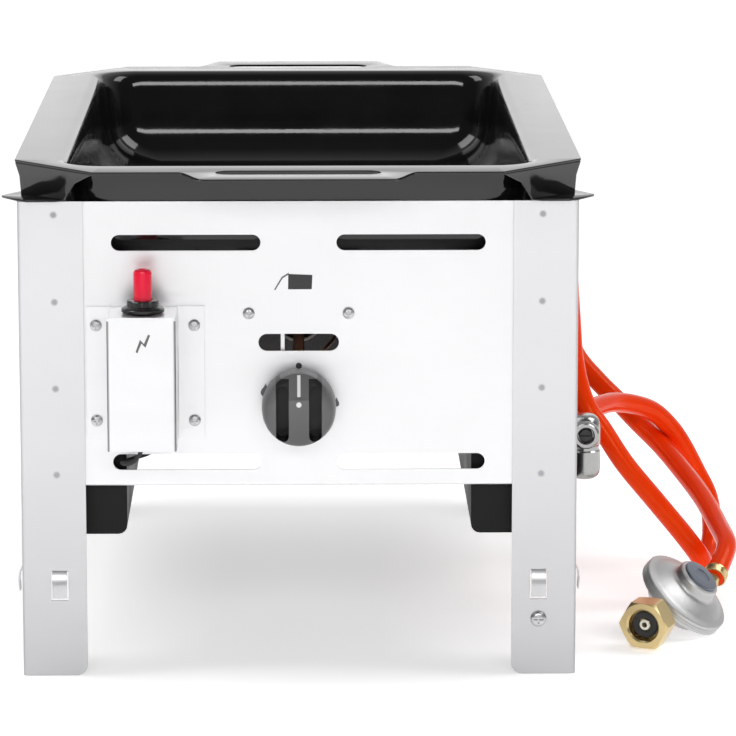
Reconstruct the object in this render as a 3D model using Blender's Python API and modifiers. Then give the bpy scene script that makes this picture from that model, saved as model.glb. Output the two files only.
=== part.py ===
"""A one-burner table-top gas roaster: a bent steel body, an enamelled pan, a valve, an igniter and a regulator.

Metres, +Z up. The front faces -Y. The origin is on the table, under the middle of the body.
"""

import math

import bmesh
import bpy
from mathutils import Matrix, Vector

# Driving sizes of the body
BODY_WIDTH = 0.340
BODY_DEPTH = 0.484
BODY_HEIGHT = 0.295
SHEET = 0.001
LEG_FLANGE = 0.0397
LEG_SIDE = 0.044
PANEL_BOTTOM = 0.119
CORNER_RADIUS = 0.007
BEND_RADIUS = 0.002
GAP = 0.0003

# Slots in the front and rear panels
SLOT_INNER = 0.023
SLOT_OUTER = 0.1135
SLOT_HEIGHT = 0.0098
UPPER_SLOT_Z = 0.2694
LOWER_SLOT_Z = 0.134
VIEW_SLOT_WIDTH = 0.049
VIEW_SLOT_HEIGHT = 0.0106
VIEW_SLOT_Z = 0.208
LIP = 0.008

# Hook tongues on the legs
TONGUE_X = 0.147
TONGUE_TOP = 0.068
TONGUE_LENGTH = 0.019
TONGUE_WIDTH = 0.009
TONGUE_BULGE = 0.0036

# Heat shields
SHIELD_WALL_X = 0.1056
SHIELD_BOTTOM = 0.087
SHIELD_TOP = 0.236
SHIELD_LIP_TOP = 0.142
SHIELD_RADIUS = 0.005

# Roasting pan
RIM_Z = 0.317
RIM_WIDTH = 0.345
RIM_DEPTH = 0.546
RIM_CHAMFER_X = 0.050
RIM_CHAMFER_Y = 0.056
OPENING_WIDTH = 0.287
OPENING_DEPTH = 0.487
OPENING_RADIUS = 0.025
PAN_FLOOR_Z = 0.250
ENAMEL = 0.0014
HANDLE_REACH = 0.031
HANDLE_WIDTH = 0.144
HANDLE_SLOT_WIDTH = 0.099
HANDLE_SLOT_DEPTH = 0.017
EAR_REACH_X = 0.180
EAR_REACH_Y = 0.247

# Valve and knob
KNOB_Z = 0.170
KNOB_RADIUS = 0.0225
KNOB_DEPTH = 0.025
KNOB_CLEARANCE = 0.0048
GRIP_WIDTH = 0.0122
SPINDLE_RADIUS = 0.004
PUSH_TRAVEL = 0.004
VALVE_SCREW_X = 0.0303
VALVE_SCREW_Z = 0.226
VALVE_WIDTH = 0.030
VALVE_DEPTH = 0.044
VALVE_LOW = 0.153
VALVE_HIGH = 0.187

# Burner
BURNER_Z = 0.208
BURNER_RADIUS = 0.016
BURNER_WALL = 0.0016
BURNER_FRONT = -0.150
BURNER_REAR = 0.190
PORT_COUNT = 12
RAIL_GAUGE = 0.002

# Igniter
IGNITER_X = -0.0937
IGNITER_Y_OUT = 0.021
BOX_LEFT = -0.1150
BOX_RIGHT = -0.0735
BOX_DEPTH = 0.041
BOX_LOW = 0.149
BOX_HIGH = 0.2307
BOX_FLANGE_LEFT = -0.129
BOX_FLANGE_RIGHT = -0.0573
BUTTON_RADIUS = 0.0055
BUTTON_TOP = 0.257
COLLAR_RADIUS = 0.013
COLLAR_HEIGHT = 0.0075

# Screws
SCREW_HEAD_RADIUS = 0.0036
SCREW_HEAD_HEIGHT = 0.0022
SCREW_RADIUS = 0.0015
FOOT_SCREW_X = 0.147
FOOT_SCREW_Z = 0.035
FOOT_SCREW_HEAD = 0.0049
FOOT_SCREW_RADIUS = 0.002

# Gas inlet
INLET_Y = -0.137
INLET_Z = 0.128
OUTLET_Z = 0.114
FITTING_X = 0.1815
STUB_RADIUS = 0.006

# Hose and regulator
HOSE_DIAMETER = 0.0133
DISC_RADIUS = 0.031
DISC_CENTRE = Vector((0.2461, -0.1348, 0.0235))
NUT_FACE = Vector((0.2191, -0.1914, 0.0210))
DISC_TILT = Vector((0.588, -0.311, 0.746))
NUT_FLATS = 0.029
NUT_LENGTH = 0.016
OUTLET_TURN = math.radians(12)
STEM_DROP = 0.0058
BOSS_LENGTH = 0.0015
HOSE_END = Vector((0.2690, -0.1000, 0.0265))
HOSE_LEAD = Vector((0.37, 0.79, 0.48)).normalized()

FRONT = -BODY_DEPTH / 2
PANEL_FACE = FRONT + SHEET + GAP
PANEL_BACK = PANEL_FACE + SHEET

HOSE_POINTS = [
    (0.1815, -0.1094, 0.1140),
    (0.1815, -0.0960, 0.1140),
    (0.1815, -0.0800, 0.1150),
    (0.1825, -0.0600, 0.1160),
    (0.1845, -0.0380, 0.1180),
    (0.1920, -0.0170, 0.1205),
    (0.2030, 0.0030, 0.1210),
    (0.2130, 0.0180, 0.1195),
    (0.2270, 0.0300, 0.1155),
    (0.2400, 0.0390, 0.1090),
    (0.2510, 0.0450, 0.0980),
    (0.2600, 0.0480, 0.0850),
    (0.2700, 0.0500, 0.0660),
    (0.2790, 0.0490, 0.0470),
    (0.2810, 0.0410, 0.0260),
    (0.2760, 0.0200, 0.0100),
    (0.2710, -0.0100, 0.0069),
    (0.2670, -0.0420, 0.0110),
    (0.2650, -0.0620, 0.0280),
    (0.2540, -0.0680, 0.0450),
    (0.2330, -0.0700, 0.0710),
    (0.2130, -0.0670, 0.0950),
    (0.1990, -0.0620, 0.1160),
    (0.1870, -0.0570, 0.1340),
    (0.1800, -0.0540, 0.1600),
    (0.1780, -0.0420, 0.1900),
    (0.1780, -0.0100, 0.2140),
    (0.1780, 0.0300, 0.2210),
    (0.1780, 0.0680, 0.2120),
    (0.1790, 0.0900, 0.1900),
    (0.1820, 0.0940, 0.1630),
    (0.1900, 0.0850, 0.1400),
    (0.2050, 0.0740, 0.1230),
    (0.2180, 0.0660, 0.1110),
    (0.2300, 0.0580, 0.0990),
    (0.2450, 0.0400, 0.0860),
    (0.2570, 0.0180, 0.0740),
    (0.2690, -0.0140, 0.0610),
    (0.2760, -0.0450, 0.0500),
    (0.2795, -0.0720, 0.0425),
]


# ---------------------------------------------------------------- helpers

def clear_scene():
    for old in list(bpy.data.objects):
        bpy.data.objects.remove(old, do_unlink=True)


def collection(name):
    made = bpy.data.collections.new(name)
    bpy.context.scene.collection.children.link(made)
    return made


def finish_material(name, colour, roughness, metallic):
    made = bpy.data.materials.new(name)
    made.use_nodes = True
    shader = made.node_tree.nodes["Principled BSDF"]
    shader.inputs["Base Color"].default_value = (*colour, 1)
    shader.inputs["Roughness"].default_value = roughness
    shader.inputs["Metallic"].default_value = metallic
    return made


def move_to(obj, group):
    for old in list(obj.users_collection):
        old.objects.unlink(obj)
    group.objects.link(obj)


def part(obj, name, material):
    """Names a finished sub-part and puts it in the roaster's collection."""
    obj.name = name
    obj.data.name = name
    obj.data.materials.clear()
    obj.data.materials.append(material)
    move_to(obj, PARTS)
    return obj


def as_cutter(obj):
    obj.hide_render = True
    obj.display_type = "WIRE"
    move_to(obj, CUTTERS)
    return obj


def combine(target, other, operation):
    modifier = target.modifiers.new(operation.title(), "BOOLEAN")
    modifier.operation = operation
    modifier.solver = "EXACT"
    modifier.object = as_cutter(other)
    return target


def cut(target, *cutters):
    for cutter in cutters:
        combine(target, cutter, "DIFFERENCE")
    return target


def join(target, *others):
    for other in others:
        combine(target, other, "UNION")
    return target


def smooth(obj, angle=40):
    obj.data.shade_smooth()
    obj.data.set_sharp_from_angle(angle=math.radians(angle))
    return obj


def box(low, high):
    """A block between two opposite corners."""
    low, high = Vector(low), Vector(high)
    bpy.ops.mesh.primitive_cube_add(size=1, location=(low + high) / 2)
    made = bpy.context.object
    made.scale = high - low
    bpy.ops.object.transform_apply(location=False, rotation=False, scale=True)
    return made


def aligned(direction):
    """The turn that takes +Z to a direction."""
    return Vector(direction).to_track_quat("Z", "Y").to_matrix().to_4x4()


def cylinder(start, end, radius, sides=24):
    start, end = Vector(start), Vector(end)
    bpy.ops.mesh.primitive_cylinder_add(vertices=sides, radius=radius, depth=(end - start).length)
    made = bpy.context.object
    made.matrix_world = Matrix.Translation((start + end) / 2) @ aligned(end - start)
    return made


def mesh_of(name, points, faces):
    mesh = bpy.data.meshes.new(name)
    mesh.from_pydata([tuple(p) for p in points], [], faces)
    made = bpy.data.objects.new(name, mesh)
    CUTTERS.objects.link(made)
    return made


def turned(profile, origin, axis, sides=24):
    """A solid turned about an axis. The profile lists (radius, height) down its outer side, top to bottom."""
    edges = [(i, i + 1) for i in range(len(profile) - 1)]
    if profile[0][0] > 0:
        edges.append((len(profile) - 1, 0))
    mesh = bpy.data.meshes.new("profile")
    mesh.from_pydata([(r, 0, h) for r, h in profile], edges, [])
    made = bpy.data.objects.new("turned", mesh)
    CUTTERS.objects.link(made)
    screw = made.modifiers.new("Screw", "SCREW")
    screw.steps = sides
    screw.render_steps = sides
    screw.use_merge_vertices = True
    screw.merge_threshold = 0.00001
    made.matrix_world = Matrix.Translation(Vector(origin)) @ aligned(axis)
    return made


def arc(centre, radius, start, end, steps):
    """Points on an arc, angles in degrees."""
    return [
        (
            centre[0] + radius * math.cos(math.radians(start + (end - start) * i / steps)),
            centre[1] + radius * math.sin(math.radians(start + (end - start) * i / steps)),
        )
        for i in range(steps + 1)
    ]


def rounded(corners, radius, closed, steps=4):
    """A path or outline through corners, each turned with a radius."""
    out = []
    count = len(corners)
    for i, corner in enumerate(corners):
        here = Vector(corner)
        r = radius[i] if isinstance(radius, (list, tuple)) else radius
        if r == 0 or (not closed and i in (0, count - 1)):
            out.append(tuple(here))
            continue
        before = (Vector(corners[i - 1]) - here).normalized()
        after = (Vector(corners[(i + 1) % count]) - here).normalized()
        half = before.angle(after) / 2
        reach = r / math.tan(half)
        centre = here + (before + after).normalized() * (r / math.sin(half))
        first = here + before * reach - centre
        last = here + after * reach - centre
        turn = first.angle_signed(last)
        for k in range(steps + 1):
            spot = first.copy()
            spot.rotate(Matrix.Rotation(-turn * k / steps, 2))
            out.append(tuple(centre + spot))
    return out


PLANES = {
    "XY": Matrix(((1, 0, 0), (0, 1, 0), (0, 0, 1))).to_4x4(),
    "XZ": Matrix(((1, 0, 0), (0, 0, -1), (0, 1, 0))).to_4x4(),
    "YZ": Matrix(((0, 0, 1), (1, 0, 0), (0, 1, 0))).to_4x4(),
}


def plate(outlines, low, high, plane):
    """A flat outline, and holes in it, drawn out between two levels across its plane."""
    curve = bpy.data.curves.new("outline", "CURVE")
    curve.dimensions = "2D"
    curve.fill_mode = "BOTH"
    curve.extrude = abs(high - low) / 2
    for outline in outlines:
        spline = curve.splines.new("POLY")
        spline.points.add(len(outline) - 1)
        for point, (a, b) in zip(spline.points, outline):
            point.co = (a, b, 0, 1)
        spline.use_cyclic_u = True
    level = (low + high) / 2
    flat = bpy.data.objects.new("outline", curve)
    flat.matrix_world = PLANES[plane] @ Matrix.Translation((0, 0, -level if plane == "XZ" else level))
    bpy.context.scene.collection.objects.link(flat)
    return solid_from_curve(flat)


def solid_from_curve(flat):
    """A closed mesh in place of a curve."""
    bpy.context.view_layer.update()
    ready = flat.evaluated_get(bpy.context.evaluated_depsgraph_get())
    mesh = bpy.data.meshes.new_from_object(ready)
    work = bmesh.new()
    work.from_mesh(mesh)
    bmesh.ops.remove_doubles(work, verts=work.verts, dist=0.000005)
    bmesh.ops.recalc_face_normals(work, faces=work.faces)
    work.to_mesh(mesh)
    work.free()
    made = bpy.data.objects.new("solid", mesh)
    made.matrix_world = flat.matrix_world
    CUTTERS.objects.link(made)
    bpy.data.objects.remove(flat, do_unlink=True)
    return made


def tube(points, radius, resolution=2):
    """A round rod, pipe or hose along points."""
    curve = bpy.data.curves.new("route", "CURVE")
    curve.dimensions = "3D"
    curve.bevel_depth = radius
    curve.bevel_resolution = resolution
    curve.use_fill_caps = True
    spline = curve.splines.new("POLY")
    spline.points.add(len(points) - 1)
    for point, place in zip(spline.points, points):
        point.co = (*place, 1)
    made = bpy.data.objects.new("route", curve)
    bpy.context.scene.collection.objects.link(made)
    return made


def smooth_route(points, spacing):
    """Points a little apart along one smooth curve that passes through a route's own points."""
    fine = []
    count = len(points)
    for i in range(count - 1):
        p0 = Vector(points[max(i - 1, 0)])
        p1 = Vector(points[i])
        p2 = Vector(points[i + 1])
        p3 = Vector(points[min(i + 2, count - 1)])
        for k in range(16):
            t = k / 16
            fine.append(
                0.5 * (2 * p1 + (p2 - p0) * t + (2 * p0 - 5 * p1 + 4 * p2 - p3) * t**2
                       + (3 * p1 - p0 - 3 * p2 + p3) * t**3)
            )
    fine.append(Vector(points[-1]))
    length = sum((b - a).length for a, b in zip(fine, fine[1:]))
    steps = max(2, round(length / spacing))
    out = [fine[0]]
    walked = 0
    for a, b in zip(fine, fine[1:]):
        step = (b - a).length
        while len(out) < steps and walked + step >= length * len(out) / steps:
            out.append(a.lerp(b, (length * len(out) / steps - walked) / step))
        walked += step
    out.append(fine[-1])
    return out


def bent_sheet(path, low, high, plane, gauge=SHEET):
    """Sheet metal along the middle of its path, drawn out across the path's plane."""
    turn = PLANES[plane]
    flip = -1 if plane == "XZ" else 1
    points = []
    for a, b in path:
        points.append(turn @ Vector((a, b, flip * low)))
        points.append(turn @ Vector((a, b, flip * high)))
    faces = [(2 * i, 2 * i + 2, 2 * i + 3, 2 * i + 1) for i in range(len(path) - 1)]
    made = mesh_of("sheet", points, faces)
    solidify = made.modifiers.new("Gauge", "SOLIDIFY")
    solidify.thickness = gauge
    solidify.offset = 0
    solidify.use_even_offset = True
    return made


def loft(rings, cap_last):
    """A surface through rings of equal length, with the last ring closed if asked."""
    count = len(rings[0])
    points = [p for ring in rings for p in ring]
    faces = []
    for j in range(len(rings) - 1):
        for i in range(count):
            k = (i + 1) % count
            faces.append((j * count + i, j * count + k, (j + 1) * count + k, (j + 1) * count + i))
    if cap_last:
        faces.append(tuple((len(rings) - 1) * count + i for i in range(count)))
    return mesh_of("loft", points, faces)


def slot_outline(centre_a, centre_b, width, height, steps=6):
    r = min(width, height) / 2
    half = (width / 2 - r, height / 2 - r)
    out = []
    for start, sa, sb in ((-90, 1, -1), (0, 1, 1), (90, -1, 1), (180, -1, -1)):
        out += arc((centre_a + sa * half[0], centre_b + sb * half[1]), r, start, start + 90, steps)
    clean = [out[0]]
    for p in out[1:]:
        if (Vector(p) - Vector(clean[-1])).length > 1e-7:
            clean.append(p)
    if (Vector(clean[0]) - Vector(clean[-1])).length < 1e-7:
        clean.pop()
    return clean


def circle_outline(centre, radius, sides=24):
    return arc(centre, radius, 0, 360 - 360 / sides, sides - 1)


# ---------------------------------------------------------------- body

def tongue(face_point, across, outward):
    """A hook tongue pressed out of a leg: it hangs from its top edge and bulges outward."""
    steps = [(0.0, 0.0), (0.0, -0.0015), (0.45, -0.004), (0.85, -0.0075), (1.0, -0.012), (0.85, -0.0185)]
    across, outward = Vector(across), Vector(outward)
    points = []
    for out, down in steps:
        middle = Vector(face_point) + outward * (out * TONGUE_BULGE) + Vector((0, 0, down))
        points.append(middle - across * TONGUE_WIDTH / 2)
        points.append(middle + across * TONGUE_WIDTH / 2)
    faces = [(2 * i, 2 * i + 1, 2 * i + 3, 2 * i + 2) for i in range(len(steps) - 1)]
    made = mesh_of("tongue", points, faces)
    solidify = made.modifiers.new("Gauge", "SOLIDIFY")
    solidify.thickness = SHEET * 0.9
    solidify.offset = 0
    return made


def tongue_window(face_point, across, outward):
    """The hole that a tongue leaves in the sheet, from just under the tongue's root."""
    wide = TONGUE_WIDTH / 2 + 0.0008
    a = Vector(face_point) - Vector(across) * wide - Vector(outward) * 0.003 - Vector((0, 0, 0.0022))
    b = Vector(face_point) + Vector(across) * wide + Vector(outward) * 0.003
    b -= Vector((0, 0, TONGUE_LENGTH + 0.0015))
    low = [min(a[i], b[i]) for i in range(3)]
    high = [max(a[i], b[i]) for i in range(3)]
    return box(low, high)


def side_panel(name, side, material):
    middle = BODY_WIDTH / 2 - SHEET / 2
    end = BODY_DEPTH / 2 - SHEET / 2
    inner = BODY_WIDTH / 2 - LEG_FLANGE
    path = rounded(
        [(side * inner, -end), (side * middle, -end), (side * middle, end), (side * inner, end)],
        BEND_RADIUS, closed=False, steps=3,
    )
    sheet = bent_sheet(path, 0, BODY_HEIGHT, "XY")
    opening = rounded(
        [
            (-BODY_DEPTH / 2 + LEG_SIDE, -0.01),
            (BODY_DEPTH / 2 - LEG_SIDE, -0.01),
            (BODY_DEPTH / 2 - LEG_SIDE, PANEL_BOTTOM),
            (-BODY_DEPTH / 2 + LEG_SIDE, PANEL_BOTTOM),
        ],
        [0, 0, CORNER_RADIUS, CORNER_RADIUS], closed=True,
    )
    reach = sorted((side * (middle - 0.005), side * (middle + 0.005)))
    cut(sheet, plate([opening], *reach, "YZ"))
    corner = [(side * (inner - 0.001), -0.001), (side * (inner - 0.001), CORNER_RADIUS)]
    corner += [
        (side * (inner + CORNER_RADIUS * (1 - math.cos(a))), CORNER_RADIUS * (1 - math.sin(a)))
        for a in [math.radians(15 * k) for k in range(7)]
    ]
    corner.append((side * (inner + CORNER_RADIUS), -0.001))
    cut(sheet, plate([corner], -BODY_DEPTH, BODY_DEPTH, "XZ"))
    places = []
    for end_side in (-1, 1):
        places.append(((side * TONGUE_X, end_side * end, TONGUE_TOP), (1, 0, 0), (0, end_side, 0)))
        leg_middle = end_side * (BODY_DEPTH / 2 - LEG_SIDE / 2)
        places.append(((side * middle, leg_middle, TONGUE_TOP), (0, 1, 0), (side, 0, 0)))
    for place in places:
        cut(sheet, tongue_window(*place))
        join(sheet, tongue(*place))
    if side > 0:
        cut(sheet, cylinder((middle - 0.01, INLET_Y, INLET_Z), (middle + 0.01, INLET_Y, INLET_Z),
                            STUB_RADIUS + 0.0008))
        foot = (FOOT_SCREW_X, FRONT - 0.01, FOOT_SCREW_Z), (FOOT_SCREW_X, FRONT + 0.01, FOOT_SCREW_Z)
        cut(sheet, cylinder(*foot, FOOT_SCREW_RADIUS + GAP, 16))
    return part(sheet, name, material)


def end_panel(name, end_side, material):
    """The front or rear panel, behind the leg flanges, with a return lip along its lower edge."""
    wide = BODY_WIDTH / 2 - SHEET - BEND_RADIUS * 0.6
    face = end_side * (BODY_DEPTH / 2 - SHEET - GAP - SHEET / 2)
    path = rounded(
        [
            (face, BODY_HEIGHT - GAP),
            (face, PANEL_BOTTOM + SHEET / 2),
            (face - end_side * (LIP - SHEET / 2), PANEL_BOTTOM + SHEET / 2),
        ],
        0.0015, closed=False, steps=3,
    )
    sheet = bent_sheet(path, -wide, wide, "YZ")
    centre = (SLOT_INNER + SLOT_OUTER) / 2
    width = SLOT_OUTER - SLOT_INNER
    holes = [slot_outline(side * centre, z, width, SLOT_HEIGHT)
             for side in (-1, 1) for z in (UPPER_SLOT_Z, LOWER_SLOT_Z)]
    if end_side < 0:
        holes.append(slot_outline(0, VIEW_SLOT_Z, VIEW_SLOT_WIDTH, VIEW_SLOT_HEIGHT))
        holes.append(circle_outline((0, KNOB_Z), 0.007))
        screws = [(x, VALVE_SCREW_Z) for x in (-VALVE_SCREW_X, VALVE_SCREW_X)] + igniter_screw_places()
        holes += [circle_outline(place, SCREW_RADIUS + GAP, 16) for place in screws]
    cut(sheet, plate(holes, face - 0.005, face + 0.005, "XZ"))
    return part(sheet, name, material)


def hole(x, z, y, radius, sides=24):
    return cylinder((x, y - 0.01, z), (x, y + 0.01, z), radius, sides)


def heat_shield(name, side, material):
    """An enamelled trough along the body with closed ends: its wall faces the burner."""
    wall = SHIELD_WALL_X + SHEET / 2
    outer = BODY_WIDTH / 2 - SHEET - GAP - SHEET / 2
    low = SHIELD_BOTTOM + SHEET / 2
    reach = BODY_DEPTH / 2 - (PANEL_BACK - FRONT) - LIP + SHEET - GAP - 0.0005
    path = rounded(
        [(side * wall, SHIELD_TOP), (side * wall, low), (side * outer, low), (side * outer, SHIELD_LIP_TOP)],
        SHIELD_RADIUS, closed=False, steps=4,
    )
    trough = bent_sheet(path, -reach, reach, "XZ")
    outline = rounded(
        [
            (side * wall, SHIELD_LIP_TOP + 0.06),
            (side * wall, low),
            (side * outer, low),
            (side * outer, SHIELD_LIP_TOP - 0.002),
        ],
        [0, SHIELD_RADIUS, SHIELD_RADIUS, 0], closed=True,
    )
    for end_side in (-1, 1):
        near, far = sorted((end_side * (reach - SHEET * 0.6), end_side * (reach + SHEET * 0.4)))
        join(trough, plate([outline], near, far, "XZ"))
    if side > 0:
        cut(trough, cylinder((wall - 0.01, PIPE_CROSSING_Y, PIPE_CROSSING_Z),
                             (wall + 0.01, PIPE_CROSSING_Y, PIPE_CROSSING_Z), 0.0065))
        cut(trough, cylinder((outer - 0.01, INLET_Y, INLET_Z), (outer + 0.01, INLET_Y, INLET_Z),
                             STUB_RADIUS + 0.0008))
    return part(trough, name, material)


# ---------------------------------------------------------------- pan

def ring(half_x, half_y, radius, z, steps=6):
    """A rounded rectangle at one height."""
    out = []
    for start, sx, sy in ((0, 1, 1), (90, -1, 1), (180, -1, -1), (270, 1, -1)):
        centre = (sx * (half_x - radius), sy * (half_y - radius))
        out += [(a, b, z) for a, b in arc(centre, radius, start, start + 90, steps)]
    return out


def basin():
    """The drawn inside of the pan: rim roll, sloping wall, bottom fillet and floor."""
    half_x = OPENING_WIDTH / 2
    half_y = OPENING_DEPTH / 2
    fillet = 0.029
    wall_foot = 0.0100
    profile = [(-0.006, RIM_Z - ENAMEL / 2), (0.0005, RIM_Z - 0.001), (0.0025, RIM_Z - 0.003),
               (0.0040, RIM_Z - 0.0065), (wall_foot, PAN_FLOOR_Z + fillet)]
    for k in range(1, 7):
        a = math.radians(15 * k)
        profile.append((wall_foot + fillet * (1 - math.cos(a)), PAN_FLOOR_Z + fillet * (1 - math.sin(a))))
    rings = []
    for inset, z in profile:
        radius = max(OPENING_RADIUS - inset * 0.4, 0.008)
        rings.append(ring(half_x - inset, half_y - inset, radius, z))
    shell = loft(rings, cap_last=True)
    solidify = shell.modifiers.new("Enamelled sheet", "SOLIDIFY")
    solidify.thickness = ENAMEL
    solidify.offset = 0
    return shell


def rim_outline():
    """The flange's outer edge: chamfered corners and a handle at each end."""
    x = RIM_WIDTH / 2
    y = RIM_DEPTH / 2
    cx = x - RIM_CHAMFER_X
    cy = y - RIM_CHAMFER_Y
    base = HANDLE_WIDTH / 2
    tip = HANDLE_SLOT_WIDTH / 2 + 0.006
    swell = [0.0, 0.06, 0.25, 0.5, 0.75, 0.94, 1.0]
    quarter = [(x, cy), (cx, y)]
    for k, rise in enumerate(swell):
        quarter.append((base + (tip - base) * k / (len(swell) - 1), y + HANDLE_REACH * rise))
    mirrored = [(-a, b) for a, b in reversed(quarter)]
    top = quarter + mirrored
    return top + [(-a, -b) for a, b in top]


def corner_foot(sx, sy):
    """A folded corner skirt under the flange, ending in a flat foot that lies on the body's corner."""
    x = RIM_WIDTH / 2
    y = RIM_DEPTH / 2
    top_z = RIM_Z - ENAMEL / 2
    foot_z = BODY_HEIGHT + GAP + ENAMEL / 2
    top = [(x - 0.0005, y - RIM_CHAMFER_Y - 0.040), (x - 0.0005, y - RIM_CHAMFER_Y),
           (x - RIM_CHAMFER_X, y - 0.0008)]
    low = [(0.1680, y - RIM_CHAMFER_Y - 0.034), (0.1680, 0.2200), (0.1410, 0.2445)]
    middle = [(0.1690, y - RIM_CHAMFER_Y - 0.037), (0.1690, 0.2185), (0.1340, 0.2530)]
    points = []
    for a, b in top:
        points.append((sx * a, sy * b, top_z))
    for a, b in middle:
        points.append((sx * a, sy * b, RIM_Z - 0.0095))
    for a, b in low:
        points.append((sx * a, sy * b, foot_z))
    faces = [(0, 1, 4, 3), (1, 2, 5, 4), (3, 4, 7, 6), (4, 5, 8, 7)]
    skirt = mesh_of("skirt", points, faces)
    solidify = skirt.modifiers.new("Enamelled sheet", "SOLIDIFY")
    solidify.thickness = ENAMEL
    solidify.offset = 0
    foot = [
        (0.1655, 0.1900), (0.1690, 0.2080), (EAR_REACH_X, 0.2260), (0.1790, 0.2320), (0.1680, 0.2455),
        (0.1640, EAR_REACH_Y), (0.1460, EAR_REACH_Y), (0.1400, 0.2440), (0.1560, 0.2250),
    ]
    outline = [(sx * a, sy * b) for a, b in foot]
    return skirt, plate([outline], foot_z - ENAMEL / 2, foot_z + ENAMEL / 2, "XY")


def roasting_pan(material):
    slots = []
    opening = [(a, b) for a, b, z in ring(OPENING_WIDTH / 2 + 0.003, OPENING_DEPTH / 2 + 0.003,
                                          OPENING_RADIUS, 0)]
    slot_y = RIM_DEPTH / 2 - 0.0065 + HANDLE_SLOT_DEPTH / 2
    for sy in (-1, 1):
        slots.append(slot_outline(0, sy * slot_y, HANDLE_SLOT_WIDTH, HANDLE_SLOT_DEPTH))
    flange = plate([rim_outline(), opening, *slots], RIM_Z - ENAMEL, RIM_Z, "XY")
    pan = join(flange, basin())
    for sx in (-1, 1):
        for sy in (-1, 1):
            join(pan, *corner_foot(sx, sy))
    return part(pan, "roasting_pan", material)


# ---------------------------------------------------------------- valve, knob and burner

def screw(name, place, head_radius, head_height, radius, length, material):
    """A pan-head screw along +Y whose head's underside is at its place."""
    h = head_height
    r = head_radius
    profile = [(0, h), (r * 0.55, h * 0.93), (r * 0.85, h * 0.68), (r, h * 0.3), (r, 0), (radius, 0),
               (radius, -length + 0.0005), (radius * 0.7, -length), (0, -length)]
    return part(smooth(turned(profile, place, (0, -1, 0), 16)), name, material)


def igniter_screw_places():
    low = BOX_LOW + 0.0112
    high = BOX_HIGH - 0.0117
    left = (BOX_FLANGE_LEFT + BOX_LEFT) / 2 - 0.001
    right = (BOX_FLANGE_RIGHT + BOX_RIGHT) / 2 + 0.002
    return [(left, high), (right, high), (left, low), (right, low)]


def valve_bracket(material):
    y = PANEL_BACK + GAP
    outline = rounded([(-0.038, 0.150), (0.038, 0.150), (0.038, 0.236), (-0.038, 0.236)], 0.004, closed=True)
    window = slot_outline(0, VIEW_SLOT_Z, VIEW_SLOT_WIDTH + 0.006, VIEW_SLOT_HEIGHT + 0.006)
    holes = [circle_outline((0, KNOB_Z), 0.006), window]
    holes += [circle_outline((x, VALVE_SCREW_Z), SCREW_RADIUS + GAP, 16) for x in (-VALVE_SCREW_X,
                                                                                   VALVE_SCREW_X)]
    return part(plate([outline, *holes], y, y + 0.0015, "XZ"), "valve_bracket", material)


VALVE_FRONT = PANEL_BACK + GAP + 0.0015 + GAP
BORE_END = VALVE_FRONT + 0.0235
ROD_END = BORE_END + 0.018


def valve_body(material):
    body = box((-VALVE_WIDTH / 2, VALVE_FRONT, VALVE_LOW),
               (VALVE_WIDTH / 2, VALVE_FRONT + VALVE_DEPTH, VALVE_HIGH))
    bevel = body.modifiers.new("Cast edges", "BEVEL")
    bevel.width = 0.0015
    bevel.segments = 1
    cut(body, cylinder((0, VALVE_FRONT - 0.01, KNOB_Z), (0, BORE_END, KNOB_Z), SPINDLE_RADIUS + GAP))
    cut(body, cylinder((0, VALVE_FRONT, KNOB_Z), (0, ROD_END, KNOB_Z), 0.002 + GAP, 16))
    return part(body, "gas_valve_body", material)


KNOB_BASE = PANEL_FACE - KNOB_CLEARANCE
SPINDLE_FRONT = KNOB_BASE - 0.017
SPINDLE_REAR = BORE_END - PUSH_TRAVEL - 0.001


def valve_spindle(material):
    made = cylinder((0, SPINDLE_FRONT, KNOB_Z), (0, SPINDLE_REAR, KNOB_Z), SPINDLE_RADIUS)
    return part(smooth(made), "valve_spindle", material)


def valve_push_rod(material):
    made = cylinder((0, SPINDLE_REAR + GAP, KNOB_Z), (0, ROD_END - PUSH_TRAVEL - 0.001, KNOB_Z), 0.002, 16)
    return part(smooth(made), "valve_push_rod", material)


def control_knob(material):
    """A round skirt with a grip bar across it, bored for the spindle."""
    r = KNOB_RADIUS
    d = KNOB_DEPTH
    profile = [(0, 0.013), (r - 0.0035, 0.013), (r - 0.0012, 0.0118), (r - 0.0003, 0.009), (r, 0.002),
               (r - 0.0005, 0), (0, 0)]
    knob = turned(profile, (0, KNOB_BASE, KNOB_Z), (0, -1, 0), 40)
    face = [
        (KNOB_BASE - 0.006, KNOB_Z - r + 0.0006), (KNOB_BASE - 0.012, KNOB_Z - r + 0.0010),
        (KNOB_BASE - d + 0.0015, KNOB_Z - r + 0.0018), (KNOB_BASE - d, KNOB_Z - r + 0.0036),
        (KNOB_BASE - d, KNOB_Z + r - 0.0036), (KNOB_BASE - d + 0.0015, KNOB_Z + r - 0.0018),
        (KNOB_BASE - 0.012, KNOB_Z + r - 0.0010), (KNOB_BASE - 0.006, KNOB_Z + r - 0.0006),
    ]
    join(knob, plate([face], -GRIP_WIDTH / 2, GRIP_WIDTH / 2, "YZ"))
    cut(knob, cylinder((0, KNOB_BASE + 0.01, KNOB_Z), (0, SPINDLE_FRONT - GAP, KNOB_Z),
                       SPINDLE_RADIUS + GAP))
    top = KNOB_Z + r - 0.0048
    cut(knob, box((-0.0009 - GAP, KNOB_BASE - d - 0.005, top - 0.0160 - GAP),
                  (0.0009 + GAP, KNOB_BASE - d + 0.0008, top + GAP)))
    return part(knob, "control_knob", material)


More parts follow.
